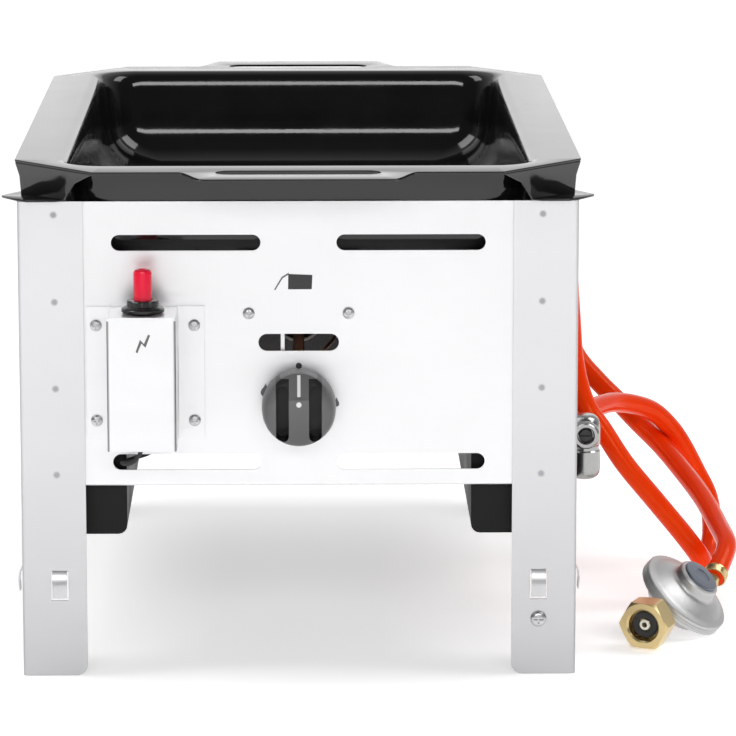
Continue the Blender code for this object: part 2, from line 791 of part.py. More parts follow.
def knob_pointer(material):
    top = KNOB_Z + KNOB_RADIUS - 0.0048
    face = KNOB_BASE - KNOB_DEPTH
    made = box((-0.0009, face - 0.0002, top - 0.0160), (0.0009, face + 0.0008 - GAP, top))
    return part(made, "knob_pointer", material)


def burner_tube(material):
    r = BURNER_RADIUS
    w = BURNER_WALL
    length = BURNER_REAR - BURNER_FRONT
    outer = [(0, 0), (r, 0), (r, -length), (0, -length)]
    tube_body = turned(outer, (0, BURNER_FRONT, BURNER_Z), (0, -1, 0), 32)
    hollow = cylinder((0, BURNER_FRONT - 0.01, BURNER_Z), (0, BURNER_REAR - w, BURNER_Z), r - w, 32)
    cut(tube_body, hollow)
    pitch = (length - 0.080) / (PORT_COUNT - 1)
    for k in range(PORT_COUNT):
        y = BURNER_FRONT + 0.050 + k * pitch
        cut(tube_body, box((-r * 0.85, y, BURNER_Z + r * 0.45), (r * 0.85, y + 0.0022, BURNER_Z + r * 0.80)))
    return part(smooth(tube_body), "burner_tube", material)


def burner_rail(name, y, material):
    """A cross rail between the heat shields that the burner tube lies on."""
    wall = SHIELD_WALL_X - GAP - RAIL_GAUGE / 2
    top = BURNER_Z - BURNER_RADIUS - GAP - RAIL_GAUGE / 2
    path = rounded([(-wall, top + 0.024), (-wall, top), (wall, top), (wall, top + 0.024)], 0.003,
                   closed=False)
    return part(bent_sheet(path, y - 0.010, y + 0.010, "XZ", RAIL_GAUGE), name, material)


PILOT_Y = BURNER_FRONT + 0.018
PILOT_X = 0.0225
PILOT_Z = BURNER_Z + 0.010


def pilot_bracket(material):
    """A plate round the burner's front end that holds the electrode and the flame sensor."""
    low = BURNER_Z - 0.004
    outline = rounded([(-0.030, low), (0.030, low), (0.030, PILOT_Z + 0.009), (0.014, BURNER_Z + 0.0215),
                       (-0.014, BURNER_Z + 0.0215), (-0.030, PILOT_Z + 0.009)], 0.002, closed=True)
    made = plate([outline], PILOT_Y, PILOT_Y + 0.0015, "XZ")
    for centre, radius, sides in (((0, BURNER_Z), BURNER_RADIUS + GAP, 32),
                                  ((-PILOT_X, PILOT_Z), 0.0035 + GAP, 16),
                                  ((PILOT_X, PILOT_Z), 0.0025 + GAP, 16)):
        cut(made, hole(*centre, PILOT_Y, radius, sides))
    return part(made, "pilot_bracket", material)


def ignition_electrode(material):
    profile = [(0, 0.030), (0.0011, 0.030), (0.0011, 0.014), (0.0035, 0.013), (0.0035, -0.016),
               (0.0020, -0.017), (0, -0.017)]
    made = turned(profile, (-PILOT_X, PILOT_Y, PILOT_Z), (0, 1, 0), 16)
    return part(smooth(made), "ignition_electrode", material)


def flame_sensor(material):
    profile = [(0, 0.026), (0.0018, 0.025), (0.0025, 0.022), (0.0025, -0.012), (0.0014, -0.013), (0, -0.013)]
    made = turned(profile, (PILOT_X, PILOT_Y, PILOT_Z), (0, 1, 0), 16)
    return part(smooth(made), "flame_sensor", material)


def sensor_lead(material):
    start = Vector((PILOT_X, PILOT_Y - 0.013 - GAP, PILOT_Z))
    route = [start, start + Vector((0.0005, -0.008, -0.0005)), (0.026, -0.172, 0.2140),
             (0.0235, -0.196, 0.2050),
             (0.0150, -0.211, 0.1975), (0.0085, -0.2145, 0.1925), (0.0080, -0.2150, VALVE_HIGH + GAP)]
    return part(tube(smooth_route(route, 0.0045), 0.0011), "sensor_lead", material)


FEED_Y = VALVE_FRONT + VALVE_DEPTH + GAP
INJECTOR_FRONT = BURNER_FRONT - 0.006


def burner_feed_pipe(material):
    z = VALVE_LOW + 0.010
    route = [(0, FEED_Y, z), (0, FEED_Y + 0.007, z), (0, FEED_Y + 0.0145, z + 0.004),
             (0, FEED_Y + 0.0180, z + 0.013),
             (0, FEED_Y + 0.0185, z + 0.026), (0, FEED_Y + 0.0215, z + 0.037),
             (0, INJECTOR_FRONT - 0.0075, BURNER_Z - 0.0006), (0, INJECTOR_FRONT - GAP, BURNER_Z)]
    return part(tube(smooth_route(route, 0.005), 0.0035), "burner_feed_pipe", material)


def gas_injector(material):
    profile = [(0, 0.014), (0.0020, 0.014), (0.0036, 0.010), (0.0060, 0.009), (0.0060, 0), (0, 0)]
    made = turned(profile, (0, INJECTOR_FRONT, BURNER_Z), (0, 1, 0), 6)
    return part(made, "gas_injector", material)


PIPE_CROSSING_Y = -0.190
PIPE_CROSSING_Z = 0.152


def gas_supply_pipe(material):
    z = VALVE_LOW + 0.012
    y = VALVE_FRONT + 0.026
    start_x = BODY_WIDTH / 2 - 0.0125
    route = [(start_x, INLET_Y, INLET_Z), (start_x - 0.010, INLET_Y, INLET_Z), (0.137, -0.147, 0.1310),
             (0.126, -0.170, 0.1420), (0.116, PIPE_CROSSING_Y + 0.002, PIPE_CROSSING_Z - 0.001),
             (0.106, PIPE_CROSSING_Y, PIPE_CROSSING_Z), (0.094, PIPE_CROSSING_Y - 0.001,
                                                         PIPE_CROSSING_Z + 0.001),
             (0.075, -0.199, 0.1570), (0.050, y - 0.002, z - 0.002), (0.030, y, z),
             (VALVE_WIDTH / 2 + GAP, y, z)]
    return part(tube(smooth_route(route, 0.0085), 0.004), "gas_supply_pipe", material)


# ---------------------------------------------------------------- igniter

IGNITER_Y = FRONT - IGNITER_Y_OUT


def igniter_bracket(material):
    """A hat-shaped cover with two flanges and a closed top, which carries the push-button igniter."""
    back = FRONT + SHEET / 2
    front = FRONT - BOX_DEPTH + SHEET / 2
    path = rounded(
        [
            (BOX_FLANGE_LEFT, back), (BOX_LEFT + SHEET / 2, back), (BOX_LEFT + SHEET / 2, front),
            (BOX_RIGHT - SHEET / 2, front), (BOX_RIGHT - SHEET / 2, back), (BOX_FLANGE_RIGHT, back),
        ],
        0.0015, closed=False, steps=3,
    )
    cover = bent_sheet(path, BOX_LOW, BOX_HIGH, "XY")
    lid = rounded([(BOX_LEFT + SHEET / 2, back), (BOX_LEFT + SHEET / 2, front),
                   (BOX_RIGHT - SHEET / 2, front), (BOX_RIGHT - SHEET / 2, back)], [0, 0.0015, 0.0015,
                                                                                    0], closed=True)
    join(cover, plate([lid], BOX_HIGH - 0.0015, BOX_HIGH - 0.0005, "XY"))
    cut(cover, cylinder((IGNITER_X, IGNITER_Y, BOX_HIGH - 0.01), (IGNITER_X, IGNITER_Y, BOX_HIGH + 0.01),
                        0.0093))
    for x, z in igniter_screw_places():
        cut(cover, hole(x, z, back, SCREW_RADIUS + GAP, 16))
    return part(cover, "igniter_bracket", material)


def piezo_body(material):
    top = BOX_HIGH - 0.0005
    lid_low = BOX_HIGH - 0.0015
    profile = [(0.0090, top), (0.0090, lid_low - GAP), (0.0120, lid_low - GAP), (0.0120, lid_low - 0.004),
               (0.0088, lid_low - 0.004), (0.0088, 0.1740), (0.0060, 0.1700), (0.0060, 0.1660), (0, 0.1660),
               (0, BUTTON_TOP - 0.0425), (BUTTON_RADIUS + GAP, BUTTON_TOP - 0.0425), (BUTTON_RADIUS + GAP,
                                                                                      top)]
    made = turned_ring(profile, (IGNITER_X, IGNITER_Y, 0), (0, 0, 1), 24)
    return part(smooth(made), "piezo_body", material)


def turned_ring(profile, origin, axis, sides):
    """A turned solid whose profile closes on itself, with or without a stretch on the axis."""
    mesh = bpy.data.meshes.new("profile")
    on_axis = [i for i, (r, h) in enumerate(profile) if r == 0]
    edges = []
    count = len(profile)
    for i in range(count):
        k = (i + 1) % count
        if i in on_axis and k in on_axis:
            continue
        edges.append((i, k))
    mesh.from_pydata([(r, 0, h) for r, h in profile], edges, [])
    made = bpy.data.objects.new("turned", mesh)
    CUTTERS.objects.link(made)
    spin = made.modifiers.new("Screw", "SCREW")
    spin.steps = sides
    spin.render_steps = sides
    spin.use_merge_vertices = True
    spin.merge_threshold = 0.00001
    made.matrix_world = Matrix.Translation(Vector(origin)) @ aligned(axis)
    return made


def igniter_collar(material):
    low = BOX_HIGH + GAP
    high = low + COLLAR_HEIGHT
    r = COLLAR_RADIUS
    bore = BUTTON_RADIUS + GAP
    profile = [(bore, high), (r - 0.004, high), (r - 0.0025, high - 0.0015), (r - 0.0015, low + 0.003),
               (r, low + 0.002),
               (r, low), (bore, low)]
    return part(smooth(turned(profile, (IGNITER_X, IGNITER_Y, 0), (0, 0, 1), 32)), "igniter_collar",
                material)


def igniter_button(material):
    r = BUTTON_RADIUS
    top = BUTTON_TOP
    profile = [(0, top), (r * 0.6, top - 0.0002), (r * 0.9, top - 0.0009), (r, top - 0.0022),
               (r, top - 0.034), (0, top - 0.034)]
    return part(smooth(turned(profile, (IGNITER_X, IGNITER_Y, 0), (0, 0, 1), 24)), "igniter_button",
                material)


def ignition_lead(material):
    route = [(IGNITER_X, IGNITER_Y, 0.1657), (IGNITER_X, IGNITER_Y, 0.1570),
             (-0.0955, IGNITER_Y + 0.001, 0.1450),
             (-0.1010, -0.2570, 0.1370), (-0.1065, -0.2480, 0.1345), (-0.1075, -0.2400, LOWER_SLOT_Z),
             (-0.1000, -0.2300, 0.1345), (-0.0850, -0.2200, 0.1400), (-0.0600, -0.2080, 0.1650),
             (-0.0400, -0.1950, 0.1950), (-0.0270, -0.1780, 0.2120), (-0.0228, -0.1640, 0.2175),
             (-PILOT_X, PILOT_Y - 0.017 - GAP, PILOT_Z)]
    return part(tube(smooth_route(route, 0.006), 0.0014), "ignition_lead", material)


# ---------------------------------------------------------------- gas inlet, hose and regulator

FITTING_FRONT = INLET_Y - 0.011
FITTING_REAR = INLET_Y + 0.011


def inlet_elbow(material):
    """The gas inlet: a stub through the side panel, an upright body and an outlet at its back."""
    x = FITTING_X
    body = turned([(0, 0.1425), (0.0070, 0.1415), (0.0095, 0.1385), (0.0100, 0.1350), (0.0100, 0.1060),
                   (0.0090, 0.1030), (0.0060, 0.1015), (0, 0.1010)], (x, INLET_Y, 0), (0, 0, 1), 24)
    join(body, cylinder((BODY_WIDTH / 2 - 0.0122, INLET_Y, INLET_Z), (x, INLET_Y, INLET_Z), STUB_RADIUS))
    join(body, cylinder((x, INLET_Y, OUTLET_Z), (x, FITTING_REAR + 0.003, OUTLET_Z), 0.0070))
    join(body, cylinder((x, INLET_Y, INLET_Z + 0.003), (x, FITTING_FRONT - 0.004, INLET_Z + 0.003), 0.0088))
    cut(body, cylinder((x, FITTING_FRONT + 0.004, INLET_Z + 0.003),
                       (x, FITTING_FRONT - 0.014, INLET_Z + 0.003), 0.0032, 16))
    return part(body, "gas_inlet_elbow", material)


def hexagon(start, end, flats, bore, sides_bore=24):
    """A hexagon nut between two points on its axis, chamfered and bored through."""
    nut = cylinder(start, end, flats / math.sqrt(3), 6)
    nut.matrix_world = nut.matrix_world @ Matrix.Rotation(math.radians(30), 4, "Z")
    if bore:
        axis = (Vector(end) - Vector(start)).normalized() * 0.01
        cut(nut, cylinder(Vector(start) - axis, Vector(end) + axis, bore, sides_bore))
    return nut


def inlet_lock_nut(material):
    inner = BODY_WIDTH / 2 - 2 * SHEET - 2 * GAP
    nut = hexagon((inner - 0.005, INLET_Y, INLET_Z), (inner, INLET_Y, INLET_Z), 0.018, STUB_RADIUS + GAP)
    return part(nut, "inlet_lock_nut", material)


NUT_START = FITTING_REAR + 0.003 + GAP
NUT_END = NUT_START + 0.013


def hose_union_nut(material):
    start = (FITTING_X, NUT_START, OUTLET_Z)
    end = (FITTING_X, NUT_END, OUTLET_Z)
    return part(hexagon(start, end, 0.019, 0.0045), "hose_union_nut", material)


def ferrule(name, place, direction, length, material):
    """A crimped ring over the end of the hose."""
    inner = HOSE_DIAMETER / 2 + GAP
    outer = inner + 0.0009
    profile = [(inner, length), (outer, length), (outer, length * 0.62), (outer - 0.0004, length * 0.55),
               (outer, length * 0.48), (outer, 0), (inner, 0)]
    return part(smooth(turned(profile, place, direction, 24)), name, material)


def gas_hose(material):
    route = [Vector(p) for p in HOSE_POINTS] + [HOSE_END + HOSE_LEAD * step for step in (0.016, 0.008, 0)]
    return part(tube(smooth_route(route, HOSE_DIAMETER * 1.25), HOSE_DIAMETER / 2, 3), "gas_hose", material)


def regulator_axes():
    """The regulator's own axes: along its inlet, across it, and through its bonnet."""
    inlet = (NUT_FACE - DISC_CENTRE).normalized()
    up = (DISC_TILT - inlet * DISC_TILT.dot(inlet)).normalized()
    return inlet, up.cross(inlet).normalized(), up


def outlet_direction():
    inlet, across, up = regulator_axes()
    return -inlet * math.cos(OUTLET_TURN) + across * math.sin(OUTLET_TURN)


def regulator_shells(metal, cap_metal, rubber, steel):
    inlet, across, up = regulator_axes()
    r = DISC_RADIUS
    c = DISC_CENTRE
    outlet = outlet_direction()
    outline = [(0, -0.0009), (r, -0.0009), (r, -0.0032), (r - 0.002, -0.0042), (r - 0.009, -0.0080),
               (r - 0.0115, -0.0120), (r - 0.0150, -0.0135), (0, -0.0135)]
    lower = turned(outline, c, up, 32)
    below = c - up * STEM_DROP
    for way, length in ((inlet, 0.0015), (outlet, BOSS_LENGTH)):
        join(lower, cylinder(below, below + way * r, 0.0046))
        join(lower, cylinder(below + way * (r - 0.0025), below + way * (r + length), 0.0060))
    cut(lower, cylinder(c - up * 0.0075, c + up * 0.002, r - 0.0110, 32))
    part(lower, "regulator_lower_shell", metal)

    bonnet = turned(
        [(0, 0.0175), (0.0130, 0.0175), (0.0141, 0.0169), (0.0146, 0.0156), (0.0146, 0.0115),
         (0.0160, 0.0098),
         (0.0205, 0.0080), (0.0250, 0.0059), (r - 0.0025, 0.0040), (r, 0.0032), (r, 0.0009), (0, 0.0009)],
        c, up, 32,
    )
    cut(bonnet, cylinder(c - up * 0.002, c + up * 0.0050, r - 0.0110, 32))
    cut(bonnet, cylinder(c, c + up * 0.0200, 0.0100, 24))
    part(bonnet, "regulator_bonnet", metal)

    disc = turned([(0, 0.0006), (r - 0.003, 0.0006), (r - 0.003, -0.0006), (0, -0.0006)], c, up, 32)
    part(disc, "regulator_diaphragm", rubber)

    cap = turned([(0, 0.0192), (0.0112, 0.0192), (0.0121, 0.0187), (0.0124, 0.0178), (0.0097, 0.0178),
                  (0.0097, 0.0150),
                  (0, 0.0150)], c, up, 32)
    part(smooth(cap), "regulator_cap", cap_metal)

    turns = 4
    per_turn = 10
    spring_points = []
    for k in range(turns * per_turn + 1):
        a = 2 * math.pi * k / per_turn
        level = 0.0018 + 0.0110 * k / (turns * per_turn)
        spring_points.append(c + up * level + (inlet * math.cos(a) + across * math.sin(a)) * 0.0070)
    part(tube(spring_points, 0.0008), "regulator_spring", steel)
    return below, inlet, outlet


def cylinder_connection(below, inlet, brass, rubber):
    """The inlet stem with its seal, and the nut that turns on it."""
    reach = (NUT_FACE - DISC_CENTRE).length
    start = DISC_RADIUS + 0.0015 + GAP
    head = reach - 0.0085
    tip = reach - 0.0030
    stem = turned_ring(
        [(0.00375, tip), (0.00375, head + 0.0030), (0.0090, head + 0.0030), (0.0090, head), (0.00525, head),
         (0.00525, start), (0, start), (0, head - 0.006), (0.0015, head - 0.006), (0.0015, tip)],
        below, inlet, 24,
    )
    part(smooth(stem), "regulator_inlet_stem", brass)
    seal = turned([(0.00375 + GAP, tip - 0.0004), (0.0085, tip - 0.0004), (0.0085, head + 0.0030 + GAP),
                   (0.00375 + GAP, head + 0.0030 + GAP)], below, inlet, 24)
    part(smooth(seal), "regulator_seal", rubber)
    back = below + inlet * (reach - NUT_LENGTH)
    front = below + inlet * reach
    nut = hexagon(back, front, NUT_FLATS, 0.00525 + GAP)
    cut(nut, cylinder(below + inlet * (head - GAP), front + inlet * 0.01, 0.0096))
    pivot = bpy.data.objects.new("cylinder_nut_axis", None)
    pivot.matrix_world = Matrix.Translation(front) @ aligned(inlet)
    PARTS.objects.link(pivot)
    part(nut, "cylinder_nut", brass)


def outlet_nipple(below, outlet, material):
    """The outlet: it turns upward out of the shell's side into the hose."""
    root = below + outlet * (DISC_RADIUS + BOSS_LENGTH + GAP)
    end = HOSE_END - HOSE_LEAD * GAP
    route = [root, root + outlet * 0.004, end - HOSE_LEAD * 0.004, end]
    return part(tube(route, 0.0045), "regulator_outlet_nipple", material)


# ---------------------------------------------------------------- the whole roaster

def build():
    stainless = finish_material("stainless_steel", (0.80, 0.80, 0.80), 0.35, 1.0)
    enamel = finish_material("black_enamel", (0.012, 0.012, 0.013), 0.15, 0.0)
    zinc = finish_material("zinc_plated_steel", (0.62, 0.62, 0.63), 0.4, 1.0)
    black = finish_material("black_plastic", (0.02, 0.02, 0.021), 0.45, 0.0)
    white = finish_material("white_paint", (0.85, 0.85, 0.84), 0.4, 0.0)
    red = finish_material("red_plastic", (0.75, 0.01, 0.05), 0.3, 0.0)
    brass = finish_material("brass", (0.72, 0.55, 0.28), 0.3, 1.0)
    cast = finish_material("die_cast_metal", (0.60, 0.61, 0.62), 0.4, 1.0)
    cap_paint = finish_material("blue_grey_cap", (0.35, 0.38, 0.45), 0.4, 0.3)
    orange = finish_material("orange_rubber", (0.85, 0.09, 0.015), 0.35, 0.0)
    rubber = finish_material("black_rubber", (0.02, 0.02, 0.02), 0.7, 0.0)
    copper = finish_material("copper_pipe", (0.72, 0.40, 0.26), 0.35, 1.0)
    ceramic = finish_material("white_ceramic", (0.85, 0.83, 0.78), 0.3, 0.0)

    side_panel("left_side_panel", -1, stainless)
    side_panel("right_side_panel", 1, stainless)
    end_panel("front_panel", -1, stainless)
    end_panel("rear_panel", 1, stainless)
    heat_shield("left_heat_shield", -1, enamel)
    heat_shield("right_heat_shield", 1, enamel)
    roasting_pan(enamel)

    valve_bracket(zinc)
    valve_body(cast)
    valve_spindle(zinc)
    valve_push_rod(zinc)
    control_knob(black)
    knob_pointer(white)
    for name, x in (("valve_screw_left", -VALVE_SCREW_X), ("valve_screw_right", VALVE_SCREW_X)):
        screw(name, (x, PANEL_FACE - GAP, VALVE_SCREW_Z), SCREW_HEAD_RADIUS, SCREW_HEAD_HEIGHT,
              SCREW_RADIUS, 0.008, zinc)
    burner_tube(zinc)
    burner_rail("front_burner_rail", -0.100, zinc)
    burner_rail("rear_burner_rail", 0.140, zinc)
    pilot_bracket(zinc)
    ignition_electrode(ceramic)
    flame_sensor(copper)
    sensor_lead(copper)
    burner_feed_pipe(copper)
    gas_injector(brass)
    gas_supply_pipe(copper)

    igniter_bracket(stainless)
    piezo_body(black)
    igniter_collar(black)
    igniter_button(red)
    ignition_lead(rubber)
    for k, (x, z) in enumerate(igniter_screw_places()):
        screw(f"igniter_screw_{k + 1}", (x, FRONT - GAP, z), SCREW_HEAD_RADIUS, SCREW_HEAD_HEIGHT,
              SCREW_RADIUS, 0.008, zinc)
    screw("foot_screw", (FOOT_SCREW_X, FRONT - GAP, FOOT_SCREW_Z), FOOT_SCREW_HEAD, 0.0026,
          FOOT_SCREW_RADIUS, 0.007, zinc)
    nut_face = FRONT + SHEET + GAP
    part(hexagon((FOOT_SCREW_X, nut_face, FOOT_SCREW_Z), (FOOT_SCREW_X, nut_face + 0.0032, FOOT_SCREW_Z),
                 0.007, FOOT_SCREW_RADIUS + GAP, 16), "foot_screw_nut", zinc)

    inlet_elbow(cast)
    inlet_lock_nut(brass)
    hose_union_nut(brass)
    ferrule("inlet_ferrule", (FITTING_X, NUT_END + GAP, OUTLET_Z), (0, 1, 0), 0.014, cast)
    gas_hose(orange)
    below, inlet, outlet = regulator_shells(cast, cap_paint, rubber, zinc)
    cylinder_connection(below, inlet, brass, rubber)
    outlet_nipple(below, outlet, brass)
    ferrule("regulator_ferrule", HOSE_END, HOSE_LEAD, 0.006, brass)


clear_scene()
PARTS = collection("gas_roaster")
CUTTERS = collection("cutters")
build()
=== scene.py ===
import math

import bmesh
import bpy
from mathutils import Matrix, Vector


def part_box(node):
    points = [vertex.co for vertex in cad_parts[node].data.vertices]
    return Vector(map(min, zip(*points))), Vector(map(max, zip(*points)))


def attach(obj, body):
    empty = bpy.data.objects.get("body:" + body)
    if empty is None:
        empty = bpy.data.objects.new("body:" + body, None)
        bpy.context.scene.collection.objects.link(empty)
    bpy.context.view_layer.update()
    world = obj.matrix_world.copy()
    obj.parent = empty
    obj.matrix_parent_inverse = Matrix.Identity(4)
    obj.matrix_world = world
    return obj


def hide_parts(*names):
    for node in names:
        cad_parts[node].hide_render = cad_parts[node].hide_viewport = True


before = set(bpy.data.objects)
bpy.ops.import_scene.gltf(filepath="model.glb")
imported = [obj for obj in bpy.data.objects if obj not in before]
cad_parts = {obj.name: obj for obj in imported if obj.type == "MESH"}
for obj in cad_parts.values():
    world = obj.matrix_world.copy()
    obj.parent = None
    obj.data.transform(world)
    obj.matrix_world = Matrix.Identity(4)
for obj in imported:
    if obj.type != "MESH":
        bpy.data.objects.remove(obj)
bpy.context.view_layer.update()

# The roaster's own sizes, in metres
GAP = 0.0003
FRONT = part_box("left_side_panel")[0].y + 0.0035
PANEL_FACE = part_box("front_panel")[0].y
BODY_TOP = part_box("left_side_panel")[1].z
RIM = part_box("roasting_pan")[1].z
ENAMEL = 0.0014
RIM_WIDTH = 0.345
RIM_DEPTH = 0.546
HANDLE_REACH = 0.031
OPENING_WIDTH = 0.287
OPENING_DEPTH = 0.487
PAN_FLOOR = 0.250
WALL_SLOPE = math.radians(5)
KNOB_PLACE = Vector((0, PANEL_FACE - 0.0048, 0.170))
KNOB_RADIUS = 0.0225
KNOB_DEPTH = 0.025
GROOVE_SIDES = (0.0061, 0.0138)
GROOVE_ENDS = (-0.0146, 0.0117)
GRIP_SLOPE = math.radians(34)
GRIP_TOP = (0, 0.0075, KNOB_DEPTH - 0.0004)
IGNITER = Vector((-0.0937, FRONT - 0.021, 0))
HOSE_DIAMETER = 0.0133
DISC_CENTRE = Vector((0.2461, -0.1348, 0.0235))
NUT_FACE = Vector((0.2191, -0.1914, 0.0210))
DISC_TILT = Vector((0.588, -0.311, 0.746))
DISC_RADIUS = 0.031
STEM_DROP = 0.0058
INLET_X = 0.1815
INLET_Y = -0.137
PIPE_LEVEL = 0.128
TEST_LEVEL = 0.131
HOSE_LEVEL = 0.114
HOSE_START = Vector((0.1815, -0.1094, 0.1140))
HOSE_END = Vector((0.2690, -0.1000, 0.0265))
HOSE_LEAD = Vector((0.37, 0.79, 0.48)).normalized()

HOSE_POINTS = [
    (0.1815, -0.1094, 0.1140), (0.1815, -0.0960, 0.1140), (0.1815, -0.0800, 0.1150), (0.1825, -0.0600, 0.1160),
    (0.1845, -0.0380, 0.1180), (0.1920, -0.0170, 0.1205), (0.2030, 0.0030, 0.1210), (0.2130, 0.0180, 0.1195),
    (0.2270, 0.0300, 0.1155), (0.2400, 0.0390, 0.1090), (0.2510, 0.0450, 0.0980), (0.2600, 0.0480, 0.0850),
    (0.2700, 0.0500, 0.0660), (0.2790, 0.0490, 0.0470), (0.2810, 0.0410, 0.0260), (0.2760, 0.0200, 0.0100),
    (0.2710, -0.0100, 0.0069), (0.2670, -0.0420, 0.0110), (0.2650, -0.0620, 0.0280), (0.2540, -0.0680, 0.0450),
    (0.2330, -0.0700, 0.0710), (0.2130, -0.0670, 0.0950), (0.1990, -0.0620, 0.1160), (0.1870, -0.0570, 0.1340),
    (0.1800, -0.0540, 0.1600), (0.1780, -0.0420, 0.1900), (0.1780, -0.0100, 0.2140), (0.1780, 0.0300, 0.2210),
    (0.1780, 0.0680, 0.2120), (0.1790, 0.0900, 0.1900), (0.1820, 0.0940, 0.1630), (0.1900, 0.0850, 0.1400),
    (0.2050, 0.0740, 0.1230), (0.2180, 0.0660, 0.1110), (0.2300, 0.0580, 0.0990), (0.2450, 0.0400, 0.0860),
    (0.2570, 0.0180, 0.0740), (0.2690, -0.0140, 0.0610), (0.2760, -0.0450, 0.0500), (0.2795, -0.0720, 0.0425),
]


# ------------------------------------------------------------ camera

def add_camera():
    data = bpy.data.cameras.new("camera")
    data.lens = 210.3
    data.clip_end = 50
    camera = bpy.data.objects.new("camera", data)
    camera.location = (0.0002, -2.8131, 0.6745)
    camera.rotation_euler = (math.pi / 2 - 0.1854, 0, -0.0163)
    bpy.context.scene.collection.objects.link(camera)
    bpy.context.scene.camera = camera


# ------------------------------------------------------------ working by hand

def let_go():
    """Leaves edit mode and deselects everything."""
    if bpy.context.object and bpy.context.object.mode != "OBJECT":
        bpy.ops.object.mode_set(mode="OBJECT")
    bpy.ops.object.select_all(action="DESELECT")


def take(obj):
    let_go()
    obj.select_set(True)
    bpy.context.view_layer.objects.active = obj
    return obj


def open_mesh(obj):
    take(obj)
    bpy.ops.object.mode_set(mode="EDIT")
    bpy.ops.mesh.select_all(action="DESELECT")


def select_where(obj, kind, test):
    """In edit mode, selects the faces, edges or points that pass a test."""
    bpy.ops.mesh.select_mode(type={"faces": "FACE", "edges": "EDGE", "verts": "VERT"}[kind])
    bpy.ops.mesh.select_all(action="DESELECT")
    mesh = bmesh.from_edit_mesh(obj.data)
    for element in getattr(mesh, kind):
        if test(element):
            element.select_set(True)
    bmesh.update_edit_mesh(obj.data)


def face_out(merge=0):
    """In edit mode, merges doubled points, turns every face outwards and leaves edit mode."""
    bpy.ops.mesh.select_all(action="SELECT")
    if merge:
        bpy.ops.mesh.remove_doubles(threshold=merge)
    bpy.ops.mesh.normals_make_consistent(inside=False)
    bpy.ops.object.mode_set(mode="OBJECT")


def apply_all(obj):
    take(obj)
    for modifier in list(obj.modifiers):
        bpy.ops.object.modifier_apply(modifier=modifier.name)
    return obj


def round_edges(obj, width, segments=2, angle=30):
    bevel = obj.modifiers.new("Rounded edges", "BEVEL")
    bevel.width = width
    bevel.segments = segments
    bevel.limit_method = "ANGLE"
    bevel.angle_limit = math.radians(angle)
    bevel.use_clamp_overlap = True
    return apply_all(obj)


def carve(obj, tool, operation="DIFFERENCE"):
    """Cuts, joins or trims with another mesh, which is then thrown away."""
    boolean = obj.modifiers.new("Cut", "BOOLEAN")
    boolean.operation = operation
    boolean.solver = "EXACT"
    boolean.object = tool
    apply_all(obj)
    bpy.data.objects.remove(tool, do_unlink=True)
    return obj


def settle(obj):
    """Puts an object's place into its mesh."""
    take(obj)
    bpy.ops.object.transform_apply(location=True, rotation=True, scale=True)
    return obj


def soften(obj, angle=35):
    take(obj)
    bpy.ops.object.shade_smooth_by_angle(angle=math.radians(angle))
    return obj


def done(obj, name, body, finish, slot, *nodes):
    """A finished piece: it rides on its body and stands for its CAD nodes."""
    let_go()
    obj.name = name
    obj.data.name = name
    obj.data.materials.clear()
    obj.data.materials.append(finish)
    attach(obj, body)
    if nodes:
        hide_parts(*nodes)
    return obj


def block(low, high):
    """A block between two opposite corners."""
    low = Vector(low)
    high = Vector(high)
    let_go()
    bpy.ops.mesh.primitive_cube_add(size=1, location=(low + high) / 2)
    made = bpy.context.object
    made.scale = high - low
    return settle(made)


def aim(obj, place, direction):
    """Turns a piece made along +Z to a direction and puts it in its place."""
    obj.rotation_mode = "QUATERNION"
    obj.rotation_quaternion = Vector(direction).to_track_quat("Z", "Y")
    obj.location = place
    return settle(obj)


def rod(start, end, radius, sides=48):
    start = Vector(start)
    end = Vector(end)
    let_go()
    bpy.ops.mesh.primitive_cylinder_add(vertices=sides, radius=radius, depth=(end - start).length)
    return aim(bpy.context.object, (start + end) / 2, end - start)


def turned(profile, place, direction, sides=64, bored=False):
    """A turned piece, grown ring by ring along its axis. A bored one has its last ring joined to its first."""
    let_go()
    radius, level = profile[0]
    bpy.ops.mesh.primitive_circle_add(vertices=sides, radius=radius, location=(0, 0, level),
                                      fill_type="NOTHING" if bored else "NGON", enter_editmode=True)
    bpy.ops.mesh.select_all(action="SELECT")
    for wide, high in profile[1:]:
        bpy.ops.mesh.extrude_region_move(TRANSFORM_OT_translate={"value": (0, 0, high - level)})
        bpy.ops.transform.resize(value=(wide / radius, wide / radius, 1))
        radius, level = wide, high
    made = bpy.context.object
    if bored:
        select_where(made, "edges", lambda edge: edge.is_boundary)
        bpy.ops.mesh.bridge_edge_loops()
    face_out()
    return soften(aim(settle(made), place, direction), 30)


def outline_curve(name, outlines, fill):
    """Closed outlines drawn on the floor plane."""
    curve = bpy.data.curves.new(name, "CURVE")
    curve.dimensions = "2D"
    curve.fill_mode = fill
    for outline in outlines:
        spline = curve.splines.new("POLY")
        spline.points.add(len(outline) - 1)
        for point, (a, b) in zip(spline.points, outline):
            point.co = (a, b, 0, 1)
        spline.use_cyclic_u = True
    made = bpy.data.objects.new(name, curve)
    bpy.context.scene.collection.objects.link(made)
    return made


def outline_sheet(outlines, thickness):
    """A flat outline, and holes in it, as a thin sheet on the floor plane, centred on z 0."""
    made = outline_curve("outline", outlines, "BOTH")
    made.data.extrude = thickness / 2
    take(made)
    bpy.ops.object.convert(target="MESH")
    made = bpy.context.object
    open_mesh(made)
    face_out(0.000005)
    return made


def thicken(obj, even=False):
    """Gives an open sheet the enamelled steel's thickness."""
    wall = obj.modifiers.new("Enamelled sheet", "SOLIDIFY")
    wall.thickness = ENAMEL
    wall.offset = 0
    wall.use_even_offset = even


